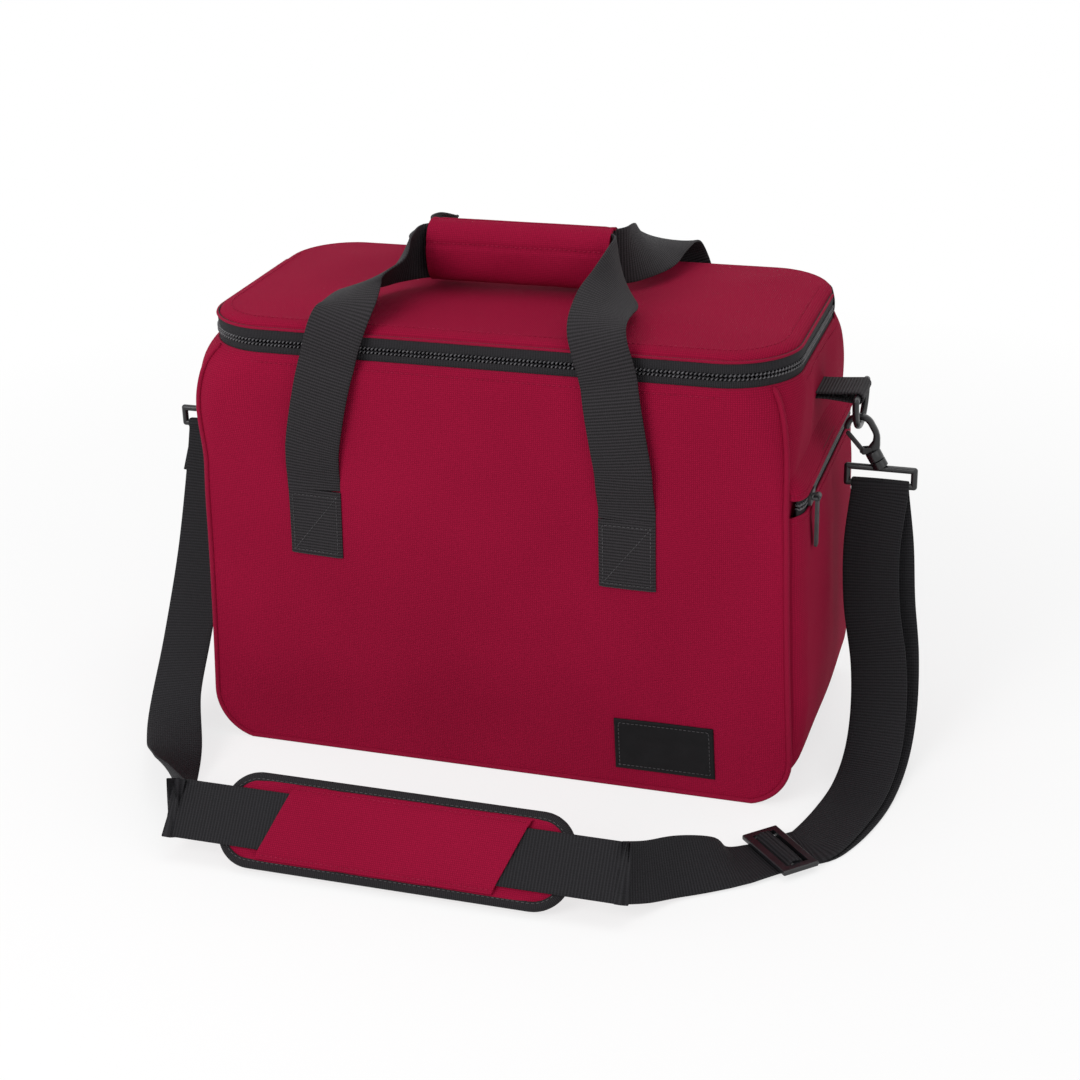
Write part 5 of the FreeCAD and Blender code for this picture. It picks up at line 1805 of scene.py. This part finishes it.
@dataclass
class ShoulderPad:
    """Padded rest on the strap: foam base, bound edge and a slanted sleeve."""

    length: float = 236.0
    width: float = 62.0
    thick: float = 7.0
    corner: float = 24.0
    bind: float = 6.0
    back: float = -8.1
    centre: tuple[float, float, float] = PAD_CENTRE
    lean: float = 40.0

    def place(self, local: Array) -> Array:
        """Points drawn flat, with the third axis out of the pad's face, to the bag's frame.

        Args:
            local: flat points in millimetres.

        Returns:
            The placed points.
        """
        angle = math.radians(self.lean)
        axes = np.array(
            [[1, 0, 0], [0, math.sin(angle), math.cos(angle)], [0, -math.cos(angle), math.sin(angle)]]
        )
        return local @ axes + np.array(self.centre)

    def facing(self) -> Array:
        """Direction out of the pad's face."""
        return self.place(np.array([0, 0, 1.0])) - self.centre

    def build(self) -> None:
        """Build the base, the binding and the sleeve."""
        self.base()
        self.binding()
        self.sleeve()

    def outline(self, inset: float) -> Array:
        """Closed rounded rectangle, inset from the pad's edge.

        Args:
            inset: how far inside the edge it runs.

        Returns:
            Its points, the first one again at the end.
        """
        a, b, r = self.length / 2 - inset, self.width / 2 - inset, self.corner - inset
        turn = np.linspace(0, np.pi / 2, 13)
        arcs = []
        for start, (sx, sy) in enumerate(CORNERS):
            angle = turn + start * np.pi / 2
            arcs.append(stack(sx * (a - r) + r * np.cos(angle), sy * (b - r) + r * np.sin(angle)))
        return even(np.concatenate(arcs + [arcs[0][:1]]), 2.0)

    def base(self) -> None:
        """Foam pad in crimson cloth: swollen by a cloth simulation, then fitted back to its place."""
        loop = self.outline(1.6)[:-1]
        share = np.sin(np.linspace(0.0, np.pi / 2, 12))[1:]
        rows = loop[None] * share[:, None, None]
        dome = (self.thick / 2 - 1.0) * (0.6 + 0.4 * np.sqrt(1.0 - share**2 * 0.98))
        middle = self.back + self.thick / 2
        top, low = raised(rows, (middle + dome)[:, None]), raised(rows, (middle - dome)[:, None])
        rings = np.concatenate([top, low[::-1]])
        uv = np.concatenate([rings[..., :2], rings[:, :1, :2]], axis=1)
        piece = tube("pad_cushion", self.place(rings), uv, "pad", SHELL_CLOTH)
        inflate(piece, voxel_mm=2.0, cap_mm=0.9, pressure=4.0)
        project_uv(piece, self.place)
        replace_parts(piece, "pad_base")

    def binding(self) -> None:
        """Black binding folded over the pad's edge, as a U-shaped section carried round it."""
        loop = self.outline(0.0)[:-1]
        tangent = unit(np.roll(loop, -1, axis=0) - np.roll(loop, 1, axis=0))
        out = stack(tangent[:, 1], -tangent[:, 0])
        turn = np.linspace(-np.pi / 2, np.pi / 2, 9)
        half = self.thick / 2 - 0.3
        outer = stack(-half + half * np.cos(turn), half * np.sin(turn))
        flap = np.array([[-self.bind, half * 0.86]])
        inner = np.array([[-self.bind, half * 0.86 - 1.2], [-self.bind, -half * 0.86 + 1.2]])
        section = np.concatenate([flap * [1, -1], outer, flap, inner])
        middle = self.back + self.thick / 2
        flat = loop[:, None] + out[:, None] * section[None, :, :1]
        rings = self.place(raised(flat, middle + section[:, 1]))
        count, cols = rings.shape[:2]
        quads, numbers = grid_quads(count + 1, cols, True)
        quads = quads % (count * cols)
        around = np.append(arc_length(section), arc_length(section)[-1] + 2.0)
        along = arc_length(np.vstack([loop, loop[:1]]))
        uv = stack(along[:, None], around).reshape(-1, 2)
        piece = finish_mesh("pad_edge_tape", rings.reshape(-1, 3), quads, uv[numbers], "pad", BINDING)
        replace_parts(piece, "pad_binding")
        row = self.outline(self.bind - 1.2)
        for face in Face:
            line = self.place(raised(row, middle - face.value * (half * 0.93 + 0.15)))
            out = -face.value * self.facing()
            stitches("pad_edge_stitch_" + face.word, line, out, "pad", THREAD_BLACK, 3.2, 2.3, 0.28)

    def sleeve(self) -> None:
        """Cloth sleeve that the strap runs through: slanted ends, stretched over the webbing."""
        half, slant, reach, flat = 88.0, 18.0, 24.6, 18.6
        side = np.linspace(-1.0, 1.0, 41)
        bb = side[None] * reach
        a = np.linspace(-1.0, 1.0, 81)
        aa = a[:, None] * (half - slant / 2) + slant / 2 * side
        lift = 2.35 * (1.0 - np.clip((np.abs(bb) - flat) / (reach - flat), 0, 1) ** 1.4)
        lift = lift + 0.25 * np.sin(aa / 13.0 + bb / 7.0) * (1 - (bb / reach) ** 2)
        hem = 0.35 * np.exp(-(((np.abs(a) - 0.96) / 0.02) ** 2))[:, None]
        floor = self.back + self.thick + 0.05
        outer = self.place(stack(aa, bb, lift + hem))
        under = np.where(np.abs(bb) < 20, np.maximum(lift - 1.1, floor), floor)
        inner = self.place(stack(aa, bb, np.minimum(under, lift - 0.3)))
        piece = slab("pad_sleeve_cloth", outer, inner, stack(aa, bb), "pad", SHELL_CLOTH)
        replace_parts(piece, "pad_sleeve")
        normal = self.facing()
        for name, k in (("low", 2), ("high", -3)):
            stitches("sleeve_stitch_" + name, outer[2:-2, k] + normal * 0.15, normal, "pad", THREAD_RED)


def inflate(piece: bpy.types.Object, voxel_mm: float, cap_mm: float, pressure: float) -> None:
    """Swell a closed cushion with a cloth simulation, and keep the result as its mesh.

    The cushion is remeshed, blown up by a pressure without gravity for twenty frames, and each
    point's move is capped before it is applied.

    Args:
        piece: the cushion.
        voxel_mm: size of the remeshed cloth's squares.
        cap_mm: how far a point may move.
        pressure: pressure inside.
    """
    scene = bpy.context.scene
    remesh = piece.modifiers.new("even_cloth", "REMESH")
    remesh.mode = "VOXEL"
    remesh.voxel_size = voxel_mm * MM
    bake_modifiers(piece)
    rest = np.empty(len(piece.data.vertices) * 3)
    piece.data.vertices.foreach_get("co", rest)
    cloth = piece.modifiers.new("swell", "CLOTH")
    cloth.settings.use_pressure = True
    cloth.settings.uniform_pressure_force = pressure
    cloth.settings.effector_weights.gravity = 0.0
    cloth.settings.quality = 6
    cloth.point_cache.frame_start = 1
    cloth.point_cache.frame_end = 20
    for number in range(1, 21):
        scene.frame_set(number)
    bake_modifiers(piece)
    swollen = np.empty_like(rest)
    piece.data.vertices.foreach_get("co", swollen)
    move = (swollen - rest).reshape(-1, 3)
    size = np.linalg.norm(move, axis=1, keepdims=True)
    move *= np.minimum(1.0, cap_mm * MM / np.maximum(size, 1e-9))
    piece.data.vertices.foreach_set("co", (rest.reshape(-1, 3) + move).ravel())
    scene.frame_set(1)
    smooth = piece.modifiers.new("round", "SUBSURF")
    smooth.levels = smooth.render_levels = 1
    bake_modifiers(piece)
    piece.data.polygons.foreach_set("use_smooth", np.ones(len(piece.data.polygons), bool))


def bake_modifiers(piece: bpy.types.Object) -> None:
    """Replace a piece's mesh by what its modifiers make of it.

    Args:
        piece: the piece.
    """
    depsgraph = bpy.context.evaluated_depsgraph_get()
    mesh = bpy.data.meshes.new_from_object(piece.evaluated_get(depsgraph), depsgraph=depsgraph)
    piece.modifiers.clear()
    old, piece.data = piece.data, mesh
    for material in [] if mesh.materials else list(old.materials):
        mesh.materials.append(material)


def project_uv(piece: bpy.types.Object, place: Callable[[Array], Array]) -> None:
    """Lay a cloth UV flat over a piece, along the plane its place function draws in.

    Args:
        piece: the piece, whose UV was lost in remeshing.
        place: function from flat millimetres to the bag's frame.
    """
    mesh = piece.data
    co = np.empty(len(mesh.vertices) * 3)
    mesh.vertices.foreach_get("co", co)
    origin, first, second = place(np.array([[0, 0, 0], [1, 0, 0], [0, 1, 0]], float))
    local = (co.reshape(-1, 3) / MM - origin) @ stack(first - origin, second - origin)
    index = np.empty(len(mesh.loops), np.int32)
    mesh.loops.foreach_get("vertex_index", index)
    layer = mesh.uv_layers.get(UV_NAME) or mesh.uv_layers.new(name=UV_NAME)
    layer.data.foreach_set("uv", local[index].astype(np.float32).ravel())


@dataclass
class Label:
    """Plain soft label on the front panel: a dark plate with a raised rim and stitches."""

    x_mid: float = 118.0
    z_mid: float = 34.0
    width: float = 66.0
    height: float = 38.0
    form: BagForm = field(default_factory=lambda: FORM)

    def build(self) -> None:
        """Build the label."""
        u = np.sin(np.linspace(-np.pi / 2, np.pi / 2, 61)) * self.width / 2
        v = np.sin(np.linspace(-np.pi / 2, np.pi / 2, 41)) * self.height / 2
        uu, vv = np.meshgrid(u, v)
        edge = np.minimum(self.width / 2 - np.abs(uu), self.height / 2 - np.abs(vv))
        rim = 0.35 * ease(edge, 0.0, 0.4) * ease(edge, 2.0, 1.4)
        lift = 0.55 + 0.45 * np.sqrt(np.clip(edge / 0.8, 0, 1)) + rim
        skin = self.form.settle(stack(uu + self.x_mid, -self.form.half_d, vv + self.z_mid))
        outer = skin - stack(0.0, lift, 0.0)
        inner = skin - [0.0, 0.02, 0.0]
        piece = slab("label_plain", outer, inner, stack(uu, vv), "bag", LABEL)
        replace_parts(piece, "label_patch")
        w, h = self.width / 2 - 3.0, self.height / 2 - 3.0
        box = even(np.array([[-w, -h], [w, -h], [w, h], [-w, h], [-w, -h]], float), 1.0)
        line = stack(box[:, 0] + self.x_mid, -self.form.half_d, box[:, 1] + self.z_mid)
        row = self.form.settle(line) - [0, 1.12, 0]
        stitches("label_stitch", row, np.array([0, -1.0, 0]), "bag", THREAD_BLACK, 3.0, 2.2, 0.26)


@dataclass
class Studio:
    """Pale floor, soft lamps, plain white surround and the camera."""

    position: tuple[float, float, float] = (410.0, -1270.0, 715.0)
    azimuth: float = 17.7
    elevation: float = 23.75
    roll: float = -1.5
    focal: float = 68.4

    def build(self) -> None:
        """Build the set."""
        self.floor()
        self.world()
        self.lamps()
        self.camera()
        bpy.context.scene.view_settings.view_transform = "Standard"

    def seen(self, tree: bpy.types.NodeTree) -> bpy.types.NodeSocket:
        """Factor of 1 on rays from the camera, or seen in gloss or through glass, else 0.

        Args:
            tree: the node tree of the floor or of the world.

        Returns:
            The socket that gives it.
        """
        path = add_node(tree, "LightPath")
        either = add_node(
            tree, "Math", {0: path.outputs["Is Camera Ray"], 1: path.outputs["Is Glossy Ray"]},
            operation="MAXIMUM",
        )
        every = add_node(
            tree, "Math", {0: either.outputs[0], 1: path.outputs["Is Transmission Ray"]},
            operation="MAXIMUM",
        )
        return every.outputs[0]

    def floor(self) -> None:
        """Pale paper floor that keeps the bag's shadow, a little lifted for the camera."""
        mesh = bpy.data.meshes.new("studio_floor")
        corners = [(6.0 * x, 6.0 * y, 0.0) for x, y in ((-1, -1), (1, -1), (1, 1), (-1, 1))]
        mesh.from_pydata(corners, [], [(0, 1, 2, 3)])
        material = bpy.data.materials.new("paper_matt_white")
        material.use_nodes = True
        tree = material.node_tree
        tree.nodes.clear()
        paper = add_node(tree, "BsdfDiffuse", {"Color": linear("#F4F4F4")})
        glow = add_node(tree, "Emission", {"Color": (1, 1, 1, 1), "Strength": 1.0})
        place = add_node(tree, "TexCoord")
        away = add_node(tree, "VectorMath", {0: place.outputs["Object"]}, operation="LENGTH")
        far = add_node(
            tree, "MapRange",
            {"Value": away.outputs["Value"], "From Min": 0.3, "From Max": 1.0, "To Min": 0.72, "To Max": 1.0},
        )
        share = add_node(tree, "Math", {0: self.seen(tree), 1: far.outputs[0]}, operation="MULTIPLY")
        mix = add_node(tree, "MixShader", {0: share.outputs[0], 1: paper.outputs[0], 2: glow.outputs[0]})
        add_node(tree, "OutputMaterial", {"Surface": mix.outputs[0]})
        mesh.materials.append(material)
        floor = bpy.data.objects.new("studio_floor", mesh)
        bpy.context.scene.collection.objects.link(floor)

    def world(self) -> None:
        """Even pale light, and white where the camera sees past the floor."""
        world = bpy.data.worlds.new("studio_air")
        bpy.context.scene.world = world
        world.use_nodes = True
        tree = world.node_tree
        tree.nodes.clear()
        light = add_node(tree, "Background", {"Color": (1, 1, 1, 1), "Strength": 0.55})
        white = add_node(tree, "Background", {"Color": (1, 1, 1, 1), "Strength": 1.0})
        mix = add_node(tree, "MixShader", {0: self.seen(tree), 1: light.outputs[0], 2: white.outputs[0]})
        add_node(tree, "OutputWorld", {"Surface": mix.outputs[0]})

    def lamps(self) -> None:
        """Large soft key from the front left and above, and a weak fill from the right."""
        for name, place, size, power in (
            ("key", (-0.7, -1.6, 1.2), 1.1, 21.0),
            ("fill", (1.5, -0.8, 0.9), 1.2, 3.5),
            ("top", (0.1, 0.3, 1.8), 1.2, 7.0),
        ):
            lamp = bpy.data.lights.new(name, "AREA")
            lamp.size = size
            lamp.energy = power
            back = unit(np.array(place) - [0.0, 0.0, 0.15])
            self.stand(name, lamp, place, unit(np.cross([0.0, 0.0, 1.0], back)), back)

    def stand(
        self, name: str, data: bpy.types.ID, place: Array, right: Array, back: Array
    ) -> bpy.types.Object:
        """Put a lamp or camera into the scene.

        Args:
            name: its name.
            data: the lamp or camera.
            place: where it stands, in metres.
            right: its direction to the right.
            back: the direction it looks away from.

        Returns:
            The object.
        """
        holder = bpy.data.objects.new(name, data)
        turned = Matrix(np.column_stack([right, np.cross(back, right), back]).tolist()).to_4x4()
        holder.matrix_world = Matrix.Translation(place) @ turned
        bpy.context.scene.collection.objects.link(holder)
        return holder

    def camera(self) -> None:
        """Camera in front, to the right and above, tilted a little."""
        a, e, r = (math.radians(v) for v in (self.azimuth, self.elevation, self.roll))
        back = np.array([math.sin(a) * math.cos(e), -math.cos(a) * math.cos(e), math.sin(e)])
        right = np.array([math.cos(a), math.sin(a), 0.0])
        rolled = math.cos(r) * right + math.sin(r) * np.cross(back, right)
        lens = bpy.data.cameras.new("camera")
        lens.sensor_width, lens.lens, lens.clip_end = 36.0, self.focal, 50.0
        place = [v * MM for v in self.position]
        bpy.context.scene.camera = self.stand("camera", lens, place, rolled, back)


def main() -> None:
    """Build the bag piece by piece, then the set."""
    logging.basicConfig(level=logging.INFO, format="%(message)s")
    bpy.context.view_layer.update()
    makers = [
        Shell(), Lid(), MainZip(), SidePocket(), Interior(), CarryHandle(Face.FRONT),
        CarryHandle(Face.BACK), RingMount(Side.LEFT), RingMount(Side.RIGHT), ShoulderStrap(),
        ShoulderPad(), Label(), Studio(),
    ]
    for maker in makers:
        maker.build()
        LOG.info("built %s", type(maker).__name__)
    for node in ("zip_slider", "zip_pull", "pocket_slider", "pocket_pull"):
        dress_node(node, ZINC)


if __name__ == "__main__":
    main()
